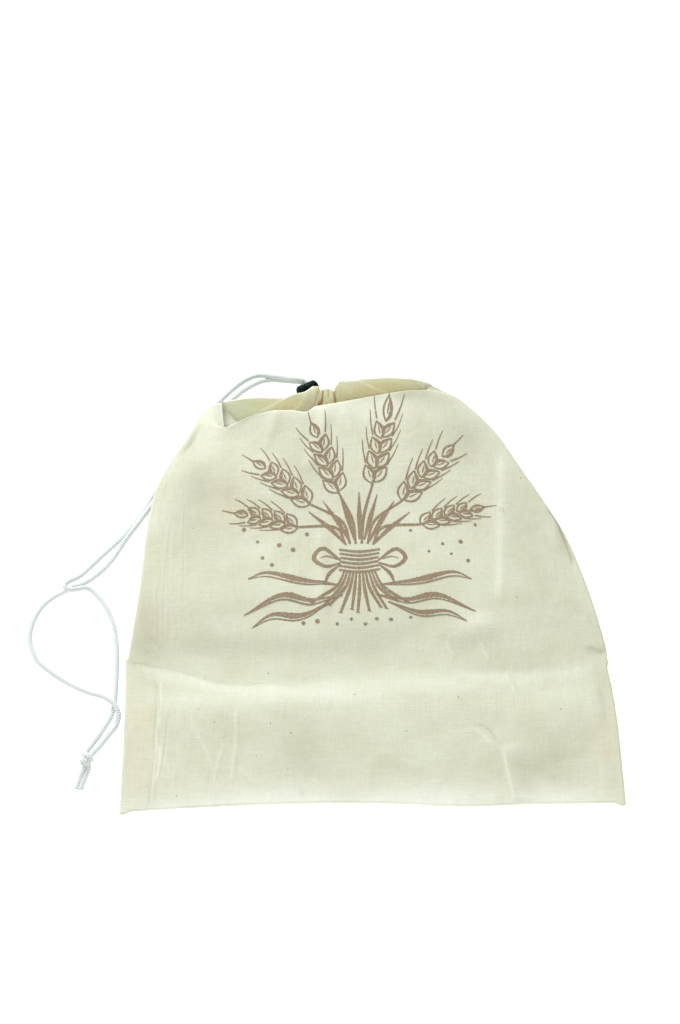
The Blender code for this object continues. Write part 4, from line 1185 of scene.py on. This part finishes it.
class Ink:
    """Strokes of the print, collected as thin ribbons that lie on the cloth."""

    def __init__(self, cloth):
        self.cloth = cloth
        self.points, self.faces, self.places = [], [], []
        self.strokes = 0

    def add(self, u, v):
        lift = INK_LIFT + INK_STACK * (self.strokes * INK_TURN % 1)
        self.points.append(self.cloth.at(u, v, lift) * MM)
        self.places.append((u, v))
        return len(self.points) - 1

    def stroke(self, points, widths, wobble=0.0):
        """A stroke through points, its width read from a short list along it."""
        self.strokes += 1
        line, gone = evenly(through_points([(x, y, 0) for x, y in points], 8), INK_STEP)
        along = unit(np.gradient(line[:, :2], axis=0))
        square = np.stack([-along[:, 1], along[:, 0]], 1)
        width = np.interp(gone / gone[-1], np.linspace(0, 1, len(widths)), widths)
        width = width * (1 + 0.10 * np.sin(gone * 1.9 + wobble) + 0.06 * np.sin(gone * 4.3 + 2 * wobble))
        rows = []
        for place, out, wide in zip(line[:, :2], square, width):
            count = 3 if wide < INK_WIDE else 5
            shares = [step / (count - 1) - 0.5 for step in range(count)]
            rows.append([self.add(*(place + out * wide * share)) for share in shares])
        for low, high in zip(rows[:-1], rows[1:]):
            if len(low) == len(high):
                for number in range(len(low) - 1):
                    self.faces.append((low[number + 1], low[number], high[number], high[number + 1]))
            else:
                way = 1 if len(low) < len(high) else -1
                few, many = (low, high)[::way]
                left, middle, right = few
                a, b, c, d, e = many
                fan = (
                    (left, a, b), (left, b, c), (left, c, middle),
                    (middle, c, d), (middle, d, right), (right, d, e),
                )
                self.faces += [triangle[::way] for triangle in fan]

    def dot(self, u, v, radius):
        self.strokes += 1
        middle = self.add(u, v)
        angles = [2 * math.pi * step / DOT_SIDES for step in range(DOT_SIDES)]
        ring = [self.add(u + radius * math.cos(angle), v + radius * math.sin(angle)) for angle in angles]
        self.faces += [(middle, here, after) for here, after in zip(ring, ring[1:] + ring[:1])]

    def object(self, name, finish):
        return mesh_object(name, self.points, self.faces, (finish,), at_corners(self.faces, self.places))


def placed(origin, angle, points):
    """Points given across and along a direction, the angle turned clockwise from straight up."""
    cos, sin = math.cos(angle), math.sin(angle)
    return [(origin[0] + x * cos + y * sin, origin[1] + y * cos - x * sin) for x, y in points]


def grain(ink, origin, angle, length, width, seed):
    """One grain of an ear: a bold outer line, a thinner inner one, and a fine line on its belly."""
    side = 1 if seed % 2 else -1
    outer = ((0, 0), (0.46, 0.26), (0.5, 0.56), (0, 1))
    inner = ((0, 0), (-0.42, 0.30), (-0.44, 0.6), (0, 1))
    belly = ((0.06, 0.3), (0.1, 0.7))
    for line, widths, wobble in (
        (outer, (1.0, 2.5, 2.4, 0.9), seed), (inner, (0.9, 1.5, 1.5, 0.8), seed + 1),
        (belly, (0.6, 1.1, 0.5), seed),
    ):
        path = [(side * width * across, length * along) for across, along in line]
        ink.stroke(placed(origin, angle, path), widths, wobble)


def ear(ink, origin, angle, length, bend, seed, pairs=4):
    """A wheat ear on its stalk's end: paired grains, a top grain, and fine awns."""
    for number in range(pairs):
        part = number / pairs
        lean = angle + bend * part
        place = placed(origin, angle + bend * part / 2, [(0, length * part)])[0]
        size = length / pairs * mix(1.32, 1.05, part)
        for side in (-1, 1):
            start = placed(place, lean, [(side * 0.7, 0.6 * side)])[0]
            grain_seed = seed + 2 * number + (side > 0)
            grain(ink, start, lean + side * math.radians(29), size, size * 0.5, grain_seed)
            tip = placed(start, lean + side * math.radians(27), [(0, size)])[0]
            awn = [(0, 1.2), (side * 1.2, size * 0.7), (side * 1.4, size * 1.25)]
            ink.stroke(placed(tip, lean + side * math.radians(14), awn), (1.2, 0.9, 0.5), seed + number)
    top = placed(origin, angle + bend / 2, [(0, length)])[0]
    size = length / pairs
    grain(ink, top, angle + bend, size * 1.15, size * 0.5, seed)
    ink.stroke(placed(top, angle + bend, [(0, size * 1.15), (0.4, size * 2.1)]), (1.2, 0.5), seed)


def sheaf(ink):
    """A sheaf of wheat: ears fanned over a striped band, long leaves at its foot, and loose grains."""
    for degrees, reach, length, bend, seed in SHEAF_EARS:
        angle = math.radians(degrees)
        foot = placed(SHEAF_TIE, 0, [(degrees * 0.16, 8)])[0]
        end = placed(SHEAF_TIE, angle, [(0, reach)])[0]
        middle = placed(SHEAF_TIE, angle * 0.62, [(0, reach * 0.55)])[0]
        ink.stroke([foot, middle, end], (1.8, 2.3, 1.6), seed)
        ear(ink, end, math.radians(degrees * 1.04), length, math.radians(bend), seed)
    for number, degrees in enumerate(SHEAF_BLADES):
        blade = [(0, 12), (3 - number, 30), (4 - number * 1.4, 50)]
        ink.stroke(placed(SHEAF_TIE, math.radians(degrees), blade), (1.4, 3.6, 0.6), number)
    for number in range(11):
        spread = (number - 5) / 5
        end_y = -19 - 5 * math.cos(spread * 2.2) + 2 * math.sin(number * 3.7)
        end_x = spread * 34 + 1.5 * math.sin(number * 2.1)
        ink.stroke([(spread * 10.5, 9), (spread * 17, -4), (end_x, end_y)], (1.3, 2.5, 1.7), number)
        ink.stroke([(end_x - 1.5, end_y + 0.4), (end_x + 1.5, end_y - 0.3)], (0.8, 0.8), number)
    for number in range(6):
        level = 9.5 + 3.2 * number
        bow = 13.5 + 0.5 * abs(number - 2.5)
        ink.stroke([(-bow, level), (0, level - 1.8), (bow, level + 0.3)], (1.6, 2.1, 1.5), number)
    for side in (-1, 1):
        for path, widths in SHEAF_BOW:
            ink.stroke([(side * x, y) for x, y in path], widths, side)
        for number, leaf in enumerate(SHEAF_LEAVES):
            ink.stroke([(side * x, y) for x, y in leaf], (0.8, 2.2, 4.4, 2.2, 0.5), number + side)
            edge = [
                (side * x, y - 3.4 * math.sin(math.pi * step / 3) - 0.4) for step, (x, y) in enumerate(leaf)
            ]
            ink.stroke(edge, (0.7, 1.2, 1.4, 1.1, 0.5), number)
    for number, (u, v) in enumerate(LOOSE_GRAINS):
        ink.dot(u, v, 1.4 + 0.3 * math.sin(number * 2.7))


def stitches(name, grid, row, outer, finish):
    """A row of short thread stitches along one row of a grid, half sunk in the cloth."""
    inner = slice(SIDE_STEPS + 2, -SIDE_STEPS - 2)
    normal = grid_normals(grid)[row, inner] * outer
    line = grid[row, inner] + normal * (SHEET / 2 + THREAD_RADIUS * THREAD_PROUD)
    fine, gone = evenly(line, STITCH_STEP)
    known = gone_along(line)
    ups = np.stack([np.interp(gone, known, normal[:, axis]) for axis in range(3)], 1)
    points, faces = [], []
    reach, pause = (int(round(length / STITCH_STEP)) for length in (STITCH, STITCH_GAP))
    for start in range(0, len(fine) - reach, reach + pause):
        run = fine[start : start + reach + 1]
        up = unit(ups[start : start + reach + 1])
        share = np.linspace(0, 1, len(run))
        sunk = run - up * (STITCH_SUNK * (1 - np.sin(math.pi * share) ** 0.5))[:, None]
        beside = np.cross(unit(np.gradient(run, axis=0)), up)
        first = len(points)
        for centre, top, out in zip(sunk, up, beside):
            for step in range(THREAD_SIDES):
                angle = 2 * math.pi * step / THREAD_SIDES
                points.append((centre + (top * math.sin(angle) + out * math.cos(angle)) * THREAD_RADIUS) * MM)
        for low in range(first, first + THREAD_SIDES * reach, THREAD_SIDES):
            for step in range(THREAD_SIDES):
                after = (step + 1) % THREAD_SIDES
                high = low + THREAD_SIDES
                faces.append((low + step, low + after, high + after, high + step))
    return mesh_object(name, points, faces, (finish,))


def flecks(cloth, finish):
    """Each of FLECKS as a small uneven patch, long one way, that lies on the cloth."""
    chance = np.random.default_rng(3)
    points, faces = [], []
    for x, y in FLECKS:
        u, v = cloth.under(x, y)
        size = chance.uniform(*FLECK_SIZES)
        tilt = chance.uniform(0, math.pi)
        first = len(points)
        points.append(cloth.at(u, v, FLECK_MIDDLE) * MM)
        for step in range(FLECK_SIDES):
            angle = 2 * math.pi * step / FLECK_SIDES
            reach = size * (0.7 + 0.3 * chance.uniform())
            long, short = reach * math.cos(angle) * 1.5, reach * math.sin(angle) * 0.8
            across = long * math.cos(tilt) - short * math.sin(tilt)
            along = long * math.sin(tilt) + short * math.cos(tilt)
            points.append(cloth.at(u + across, v + along, FLECK_EDGE) * MM)
            faces.append((first, first + 1 + step, first + 1 + (step + 1) % FLECK_SIDES))
    return mesh_object("seed_flecks", points, faces, (finish,))


class Nodes:
    """Short ways to build one material's node tree."""

    def __init__(self, name, colour, roughness):
        self.material = bpy.data.materials.new(name)
        self.material.use_nodes = True
        self.tree = self.material.node_tree
        self.shader = self.tree.nodes["Principled BSDF"]
        self.shader.inputs["Base Color"].default_value = (*colour, 1)
        self.shader.inputs["Roughness"].default_value = roughness
        self.material.diffuse_color = (*colour, 1)

    def new(self, kind, **inputs):
        """A new node, with a link or a number put in each input that is named."""
        node = self.tree.nodes.new("ShaderNode" + kind)
        for name, value in inputs.items():
            self.put(node.inputs[name.replace("_", " ")], value)
        return node

    def put(self, socket, value):
        if isinstance(value, bpy.types.NodeSocket):
            self.tree.links.new(value, socket)
        else:
            socket.default_value = value

    def math(self, operation, *values):
        node = self.new("Math")
        node.operation = operation
        for socket, value in zip(node.inputs, values):
            self.put(socket, value)
        return node.outputs[0]

    def plus(self, first, second):
        return self.math("ADD", first, second)

    def times(self, first, *others):
        for other in others:
            first = self.math("MULTIPLY", first, other)
        return first

    def place(self):
        """Across and along the flat cloth, or round and along the cord, in millimetres."""
        node = self.new("UVMap")
        node.uv_map = "cloth"
        return self.new("SeparateXYZ", Vector=node.outputs[0]).outputs[:2]

    def place_in_piece(self):
        return self.new("TexCoord").outputs["Object"]

    def vector(self, x, y, z=0.0):
        return self.new("CombineXYZ", X=x, Y=y, Z=z).outputs[0]

    def noise(self, place, scale, detail=3.0, roughness=0.5):
        node = self.new("TexNoise", Vector=place, Scale=scale, Detail=detail, Roughness=roughness)
        return node.outputs["Fac"]

    def spread(self, value, low, high, to_low=0.0, to_high=1.0):
        node = self.new("MapRange", Value=value, From_Min=low, From_Max=high, To_Min=to_low, To_Max=to_high)
        return node.outputs[0]

    def blend(self, part, first, second, way="MIX"):
        node = self.new("Mix")
        node.data_type = "RGBA"
        node.blend_type = way
        self.put(node.inputs[0], part)
        for socket, value in ((node.inputs[6], first), (node.inputs[7], second)):
            self.put(socket, (*value, 1) if isinstance(value, tuple) else value)
        return node.outputs[2]

    def shade(self, colour, tone):
        return self.blend(1.0, colour, self.vector(tone, tone, tone), "MULTIPLY")

    def attribute(self, name):
        node = self.new("Attribute")
        node.attribute_name = name
        return node.outputs["Fac"]

    def bump(self, height, distance, strength, under=None):
        below = {} if under is None else {"Normal": under}
        return self.new("Bump", Height=height, Distance=distance, Strength=strength, **below).outputs[0]

    def finish(self, colour=None, normal=None, roughness=None, **numbers):
        for name, value in (("Base Color", colour), ("Normal", normal), ("Roughness", roughness)):
            if value is not None:
                self.tree.links.new(value, self.shader.inputs[name])
        for name, number in numbers.items():
            self.shader.inputs[name.replace("_", " ")].default_value = number
        return self.material


def weave(nodes, u, v):
    """Height of a plain weave, 0 to 1."""
    warp, weft = (nodes.math("SINE", nodes.times(along, math.pi / WEAVE_PITCH)) for along in (u, v))
    share = nodes.math("MULTIPLY_ADD", nodes.times(warp, weft), 0.5, 0.5)
    rest = nodes.math("SUBTRACT", 1.0, share)
    warp, weft = nodes.math("ABSOLUTE", warp), nodes.math("ABSOLUTE", weft)
    return nodes.plus(nodes.times(warp, share), nodes.times(weft, rest))


def cotton(name, light, deep, warm_tint_and_shade, painted_light, shaded, **numbers):
    """Unbleached cotton: its weave with slubs and seed specks and painted shade in its gaps, and the mesh's
    warm tints (partly painted warm shade), painted light and painted shade."""
    nodes = Nodes(name, light, 0.92)
    u, v = nodes.place()
    flat = nodes.vector(u, v)
    u_soft = nodes.math("MULTIPLY_ADD", nodes.noise(flat, 0.16, 2.0), 1.4, u)
    v_soft = nodes.math("MULTIPLY_ADD", nodes.noise(flat, 0.13, 2.0), 1.4, v)
    cloth = weave(nodes, u_soft, v_soft)
    slubs = nodes.plus(*(
        nodes.noise(nodes.vector(nodes.times(x, x_pitch), nodes.times(y, y_pitch)), 1.0, 4.0, 0.62)
        for x, x_pitch, y, y_pitch in ((u_soft, 1.5, v, 0.045), (u, 0.05, v_soft, 1.6))
    ))
    mottle = nodes.spread(nodes.noise(flat, 0.028, 4.0, 0.55), 0.36, 0.66)
    colour = nodes.blend(mottle, light, deep)
    patchy = nodes.spread(nodes.noise(flat, 0.09, 3.0), 0.25, 0.6, 0.55, 1.0)
    # From the mesh: warm tints with painted warm shade, painted light, and painted shade
    colour = nodes.blend(nodes.times(nodes.attribute("warm_tint_and_shade"), patchy), colour, warm_tint_and_shade)
    colour = nodes.blend(nodes.attribute("painted_light"), colour, painted_light)
    colour = nodes.blend(nodes.attribute("painted_shade"), colour, shaded)
    threads = nodes.spread(slubs, 0.72, 1.28, 0.93, 1.045)
    # Painted shade in the gaps of the weave
    gap_shade = nodes.spread(cloth, 0.0, 0.75, 0.88, 1.0)
    blotches = nodes.spread(nodes.noise(flat, 0.11, 4.0, 0.6), 0.3, 0.7, 0.965, 1.025)
    colour = nodes.shade(colour, nodes.times(threads, gap_shade, blotches))
    cells = nodes.new("TexVoronoi", Vector=flat, Scale=0.105)
    near = nodes.spread(cells.outputs["Distance"], 0.022, 0.040, 1.0, 0.0)
    chance = nodes.new("SeparateColor", Color=cells.outputs["Color"])
    chosen = nodes.spread(chance.outputs[0], 0.70, 0.76)
    faint = nodes.spread(chance.outputs[1], 0.0, 1.0, 0.18, 0.75)
    colour = nodes.blend(nodes.times(near, chosen, faint), colour, SPECK_COLOUR)
    crumple = nodes.bump(nodes.noise(flat, 0.22, 4.0, 0.6), 0.0006, 0.45)
    normal = nodes.bump(cloth, 0.00012, 0.6, nodes.bump(slubs, 0.0003, 0.8, crumple))
    rough = nodes.spread(slubs, 0.7, 1.3, 0.96, 0.86)
    return nodes.finish(
        colour, normal, rough, Sheen_Weight=0.12, Sheen_Roughness=0.55, Specular_IOR_Level=0.25, **numbers
    )


def print_ink():
    """Ink that shows the weave with painted shade in its gaps, rubbed off here and there."""
    nodes = Nodes("print_ink", (0.27, 0.195, 0.140), 0.8)
    u, v = nodes.place()
    flat = nodes.vector(u, v)
    cloth = weave(nodes, u, v)
    uneven = nodes.spread(nodes.noise(flat, 0.5, 5.0, 0.65), 0.34, 0.66)
    colour = nodes.blend(uneven, (0.245, 0.182, 0.118), (0.335, 0.250, 0.165))
    # Painted shade: the ink darker in the gaps of the weave
    colour = nodes.shade(colour, nodes.spread(cloth, 0.0, 0.55, 0.78, 1.05))
    worn = nodes.spread(nodes.noise(flat, 1.15, 2.0), 0.655, 0.70)
    rubbed = nodes.spread(nodes.noise(nodes.vector(nodes.times(u, 0.35), v), 0.55), 0.66, 0.72)
    bare = nodes.math("MAXIMUM", nodes.times(worn, 0.85), nodes.times(rubbed, 0.6))
    colour = nodes.blend(bare, colour, (0.70, 0.69, 0.54))
    return nodes.finish(colour, nodes.bump(cloth, 0.0001, 0.5), Specular_IOR_Level=0.3, Sheen_Weight=0.05)


def braid():
    """The cord's colour: painted shade where its yarns cross and dip, and greyer towards the lock."""
    nodes = Nodes("white_braid", (0.66, 0.71, 0.69), 0.8)
    around, along = nodes.place()
    turn = nodes.times(along, 2 * math.pi / BRAID_PITCH)
    wide = nodes.times(around, float(BRAID_STARTS))

    def yarn(angle):
        return nodes.math("ABSOLUTE", nodes.math("COSINE", nodes.times(angle, 0.5)))

    crossing = nodes.math("MINIMUM", yarn(nodes.plus(wide, turn)), yarn(nodes.math("SUBTRACT", wide, turn)))
    fibre = nodes.noise(nodes.vector(nodes.times(wide, 1.6), nodes.times(along, 5.0)), 1.0)
    # Painted shade: darker in the dips where the yarns cross and between the ribs
    tone = nodes.times(
        nodes.spread(crossing, 0.0, 0.5, 0.66, 1.0), nodes.spread(yarn(turn), 0.0, 0.6, 0.80, 1.03),
        nodes.spread(fibre, 0.3, 0.7, 0.95, 1.02), nodes.spread(along, 40.0, 190.0, 0.84, 1.0),
    )
    soft = nodes.noise(nodes.vector(around, nodes.times(along, 0.08)), 1.0, 2.0)
    base = nodes.blend(nodes.spread(soft, 0.35, 0.65), (0.84, 0.895, 0.875), (0.78, 0.84, 0.82))
    height = nodes.plus(nodes.times(crossing, 0.8), nodes.times(fibre, 0.4))
    return nodes.finish(
        nodes.shade(base, tone), nodes.bump(height, 0.0001, 0.7), Sheen_Weight=0.15, Specular_IOR_Level=0.25,
        Subsurface_Weight=0.45, Subsurface_Scale=0.0008, Subsurface_Radius=(1.0, 1.0, 1.0),
    )


def plastic(name, colour, roughness):
    nodes = Nodes(name, colour, roughness)
    place = nodes.place_in_piece()
    grainy, cloudy = nodes.noise(place, 2600.0), nodes.noise(place, 420.0)
    tone = nodes.blend(nodes.spread(cloudy, 0.35, 0.65), colour, tuple(1.5 * channel for channel in colour))
    rough = nodes.plus(nodes.spread(grainy, 0.3, 0.7, -0.05, 0.07), roughness)
    normal = nodes.bump(grainy, 0.00002, 0.6)
    return nodes.finish(tone, normal, rough, Specular_IOR_Level=0.07, Specular_Tint=(0.6, 1.0, 0.85, 1.0))


def fibrous(name, colour, roughness, scale, first, second, relief, strength, **numbers):
    nodes = Nodes(name, colour, roughness)
    fibre = nodes.noise(nodes.place_in_piece(), scale, 2.0)
    tone = nodes.blend(nodes.spread(fibre, 0.3, 0.7), first, second)
    return nodes.finish(tone, nodes.bump(fibre, relief, strength), **numbers)


def floor_paper():
    nodes = Nodes("floor_paper", (0.93, 0.93, 0.93), 0.9)
    return nodes.finish(Emission_Color=(1, 1, 1, 1), Emission_Strength=0.42, Specular_IOR_Level=0.1)


def floor(finish):
    corners = [(x, y, FLOOR_HEIGHT) for x, y in ((-6, -6), (6, -6), (6, 6), (-6, 6))]
    return mesh_object("floor", corners, [(0, 1, 2, 3)], (finish,))


def aimed(name, data, place, target):
    """A lamp or camera at a place, turned to a target."""
    obj = linked(name, data)
    obj.location = place
    obj.rotation_euler = (Vector(target) - Vector(place)).to_track_quat("-Z", "Y").to_euler()
    return obj


def studio():
    world = bpy.data.worlds.new("studio")
    world.use_nodes = True
    background = world.node_tree.nodes["Background"]
    background.inputs["Color"].default_value = (1.0, 0.995, 0.975, 1)
    background.inputs["Strength"].default_value = 0.56
    bpy.context.scene.world = world
    for name, place, target, size, power, colour in SOFTBOXES:
        lamp = bpy.data.lights.new(name, "AREA")
        lamp.shape = "RECTANGLE"
        lamp.size, lamp.size_y = size
        lamp.energy = power
        lamp.color = colour
        aimed(name, lamp, place, target)


def camera():
    lens = bpy.data.cameras.new("camera")
    lens.lens = LENS
    lens.sensor_width = 36
    lens.clip_start = 0.001
    bpy.context.scene.camera = aimed("camera", lens, CAMERA_AT * MM, CAMERA_AIM * MM)


def front_grid():
    across = front_shares()
    grid, at = panel_sections(
        front_face, FRONT, FRONT_COLUMNS, FRONT_FOLD_RADIUS, -1, lambda station: across
    )
    face = face_of(grid)
    x, y = face[:, :, 0].copy(), face[:, :, 1].copy()
    lift = np.zeros(x.shape)
    for _, *crease in CREASES:
        lift += crease_height(x, y, *crease)
    for *place, height in SWELLS:
        lift += height * soft_patch(x, y, *place)
    for ripple in RIPPLES:
        lift += ripples(x, y, *ripple)
    sides = window(np.linspace(0, 1, x.shape[1]), SIDE_FADE)
    bottom = soft_step(at / BOTTOM_FADE)
    crest = soft_step((section_number(FRONT, "crest") + CREST_FADE / 2 - at) / CREST_FADE)
    face[:, :, 2] += lift * sides[None] * (bottom * crest)[:, None]
    outwards = np.concatenate([np.zeros(TUCK_STEPS), np.linspace(0, 1, FOLD_STEPS + 1)[1:]])
    edges = np.concatenate([outwards, np.ones(x.shape[1]), outwards[::-1]])
    for _, *kink in KINKS:
        grid[:, :, 2] += crease_height(grid[:, :, 0], grid[:, :, 1], *kink) * edges[None]
    face[:, :, 2] = np.maximum(face[:, :, 2], FACE_LOWEST)
    down = np.clip(at * BOTTOM_SECTION / BOTTOM_ROUND, 0, 1)
    round_off = np.sqrt(1 - (1 - down) ** 2)
    rows = at < 1
    grid[rows, :, 2] = SHEET / 2 + (grid[rows, :, 2] - SHEET / 2) * round_off[rows, None]
    return nubs(grid, at), at


def near_bottom(at, reach):
    return np.exp(-((at * BOTTOM_SECTION / reach) ** 2))[:, None]


def nubs(grid, at):
    """The turned corners stand a little proud of the bottom edge."""
    near = near_bottom(at, CORNER_NUB_REACH)
    for side in ("left_x", "right_x"):
        corner = FRONT[0][FRONT_COLUMNS.index(side)]
        away = grid[:, :, 0] - corner + CORNER_NUB_INSET * np.sign(corner)
        grid[:, :, 1] -= CORNER_NUB * near * np.exp(-((away / CORNER_NUB_WIDTH) ** 2))
    return grid


def back_grid():
    grid, at = panel_sections(back_face, BACK, BACK_COLUMNS, BACK_FOLD_RADIUS, 1, back_shares)
    grid[:, :, 1] += (SHEET + WRAP_CLEAR) * near_bottom(at, BACK_TUCKED)
    return nubs(grid, at), at


def front_tones(grid, at):
    """How warm the front is at each point, with its painted shade and painted light."""
    x, y = grid[:, :, 0], grid[:, :, 1]
    warm_tint_and_shade, painted_shade, lines, painted_light = (np.zeros(x.shape) for _ in range(4))
    for *place, warmth, painted_darkness in TINTS_AND_PAINTED_SHADE:
        patch = soft_patch(x, y, *place)
        warm_tint_and_shade = np.maximum(warm_tint_and_shade, warmth * patch)
        painted_shade += painted_darkness * patch
    for *place, share in PAINTED_LIGHT_PATCHES:
        painted_light = np.maximum(painted_light, share * soft_patch(x, y, *place))
    for line in PAINTED_HIGHLIGHT_LINES:
        painted_light = np.maximum(painted_light, crease_height(x, y, *line))
    for line in PAINTED_SHADE_LINES:
        lines += PAINTED_SHADE_SHARE * crease_height(x, y, *line)
    # The inner side of the hem, turned out at the left end of the mouth: painted warm shade, and less painted
    # light
    inner = soft_step((at - section_number(FRONT, "crest") - 0.3) / 0.6)[:, None] * soft_step((-92 - x) / 8)
    inner = inner * soft_step(x + 110.5 - 0.2 * (152 - y))
    return {
        "warm_tint_and_shade": np.clip(np.maximum(warm_tint_and_shade, inner), 0, 1),
        "painted_shade": np.clip(PAINTED_SHADE_SHARE * painted_shade + lines, 0, 1),
        "painted_light": painted_light * (1 - 0.55 * inner),
    }


def back_tones(grid, at):
    """The same for the back: painted warm shade and painted shade in the valleys of the gathers, painted warm
    shade on the wing, painted highlights on the edges of the pressed folds.
    """
    x, z = grid[:, :, 0], grid[:, :, 2]
    risen = np.clip(at - section_number(BACK, "turn"), 0, 1)[:, None]
    started = soft_step(risen / 0.3)
    inside = in_gathers(x)
    valley, _ = gathers(x, risen)
    warm_tint_and_shade = inside * np.clip(0.35 + 1.1 * valley, 0, 1) * started * (1.35 - 0.5 * risen)
    valley_shade = inside * np.clip(valley, 0, 1.3) ** 2 * (1.3 - 0.9 * risen) * started
    wing_shade = (soft_patch(x, z, -60, 12, 20, 8) + 0.8 * soft_patch(x, z, 4, 14, 34, 10)) * soft_step(risen / 0.2)
    # Painted light: paler patches at the flap and the left corner, painted highlights on the pressed folds'
    # edges and the gathers' folds
    painted_light = 0.6 * soft_patch(x, z, -46, 24, 7, 5) + 0.5 * soft_patch(x, z, -103, 10, 9, 9)
    for *_, risens, places in WING_FOLDS[:-1]:
        edge = np.exp(-(((x - np.interp(risen, risens, places)) / 0.7) ** 2))
        painted_light = np.maximum(painted_light, 0.8 * edge * soft_step((risen - risens[0] + 0.15) / 0.15))
    painted_light = np.maximum(painted_light, 0.3 * inside * np.clip(1 - 2.0 * valley, 0, 1) * soft_step((risen - 0.4) / 0.2))
    return {
        "warm_tint_and_shade": np.clip(np.maximum(warm_tint_and_shade, 0.55 * wing_shade), 0, 1),
        "painted_shade": np.clip(0.75 * valley_shade + 0.06 * wing_shade, 0, 1),
        "painted_light": painted_light,
    }


def dress(obj, body="bag", replaced=()):
    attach(obj, body)
    if replaced:
        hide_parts(*replaced)


def row_past(at, table, name, beyond):
    """The mesh row that lies that far past a section of a table."""
    return int(np.argmin(np.abs(at - section_number(table, name) - beyond)))


def main():
    bpy.context.scene.view_settings.view_transform = "Standard"
    camera()
    studio()
    floor(floor_paper())

    face_cotton = cotton("unbleached_cotton", *FACE_COLOURS)
    # A brighter, warmer copy of the cotton for the back's inner face: painted light and painted warm shade
    inside_cotton_painted_brighter = cotton(
        "unbleached_cotton_inside_painted_brighter", *INSIDE_COLOURS_PAINTED_BRIGHTER,
        Subsurface_Weight=0.62, Subsurface_Scale=0.0016, Subsurface_Radius=(1.0, 0.94, 0.76),
    )
    cord = braid()
    thread = fibrous(
        "sewing_thread", (0.74, 0.72, 0.58), 0.7, 5200.0, (0.70, 0.67, 0.53), (0.80, 0.79, 0.66),
        0.00004, 0.6, Sheen_Weight=0.2,
    )
    fleck = fibrous(
        "seed_fleck", (0.20, 0.17, 0.08), 0.8, 3000.0, (0.24, 0.20, 0.09), (0.38, 0.33, 0.20), 0.00003, 0.5
    )

    rows, at = front_grid()
    places = flat_places(rows)
    front = sheet_object("front_cloth", rows, places, front_tones(rows, at), (face_cotton,))
    dress(front, replaced=("front_panel",))
    back_rows, back_at = back_grid()
    back = sheet_object(
        "back_cloth", back_rows, flat_places(back_rows), back_tones(back_rows, back_at),
        (face_cotton, inside_cotton_painted_brighter), upper_finish=1,
    )
    dress(back, replaced=("back_panel",))

    cloth = Cloth(rows, places)
    ink = Ink(cloth)
    sheaf(ink)
    motif = ink.object("printed_motif", print_ink())
    dress(motif)
    specks = flecks(cloth, fleck)
    dress(specks)
    front_stitches = stitches("front_stitches", rows, row_past(at, FRONT, *FRONT_STITCHED), 1, thread)
    back_stitches = stitches("back_stitches", back_rows, row_past(back_at, BACK, *BACK_STITCHED), -1, thread)
    dress(front_stitches)
    dress(back_stitches)

    body, button = cord_lock(
        plastic("black_plastic", (0.0022, 0.005, 0.004), 0.5),
        plastic("black_plastic_button", (0.0026, 0.0055, 0.0045), 0.52),
    )
    dress(body, replaced=("lock_body",))
    dress(button, "button", replaced=("lock_button",))

    upper, upper_line = strand("cord_upper", STRAND_A + KNOT_IN_A, cord)
    lower, lower_line = strand("cord_lower", STRAND_B + KNOT_IN_B, cord)
    knot_path, gone = evenly(softened(knot_line(), 2), KNOT_STEP)
    knot = braided("knot_turns", knot_path, gone, np.full(len(gone), KNOT_CORD / 2), cord, BRAID_PAST_LOCK)
    tail_upper = tail("tail_upper", KNOT_OUT_A + TAIL_A, cord)
    tail_lower = tail("tail_lower", KNOT_OUT_B + TAIL_B, cord)
    for obj, node in (
        (upper, "cord_strand_a"), (lower, "cord_strand_b"), (knot, "cord_knot"),
        (tail_upper, "cord_tail_a"), (tail_lower, "cord_tail_b"),
    ):
        dress(obj, replaced=(node,))


main()
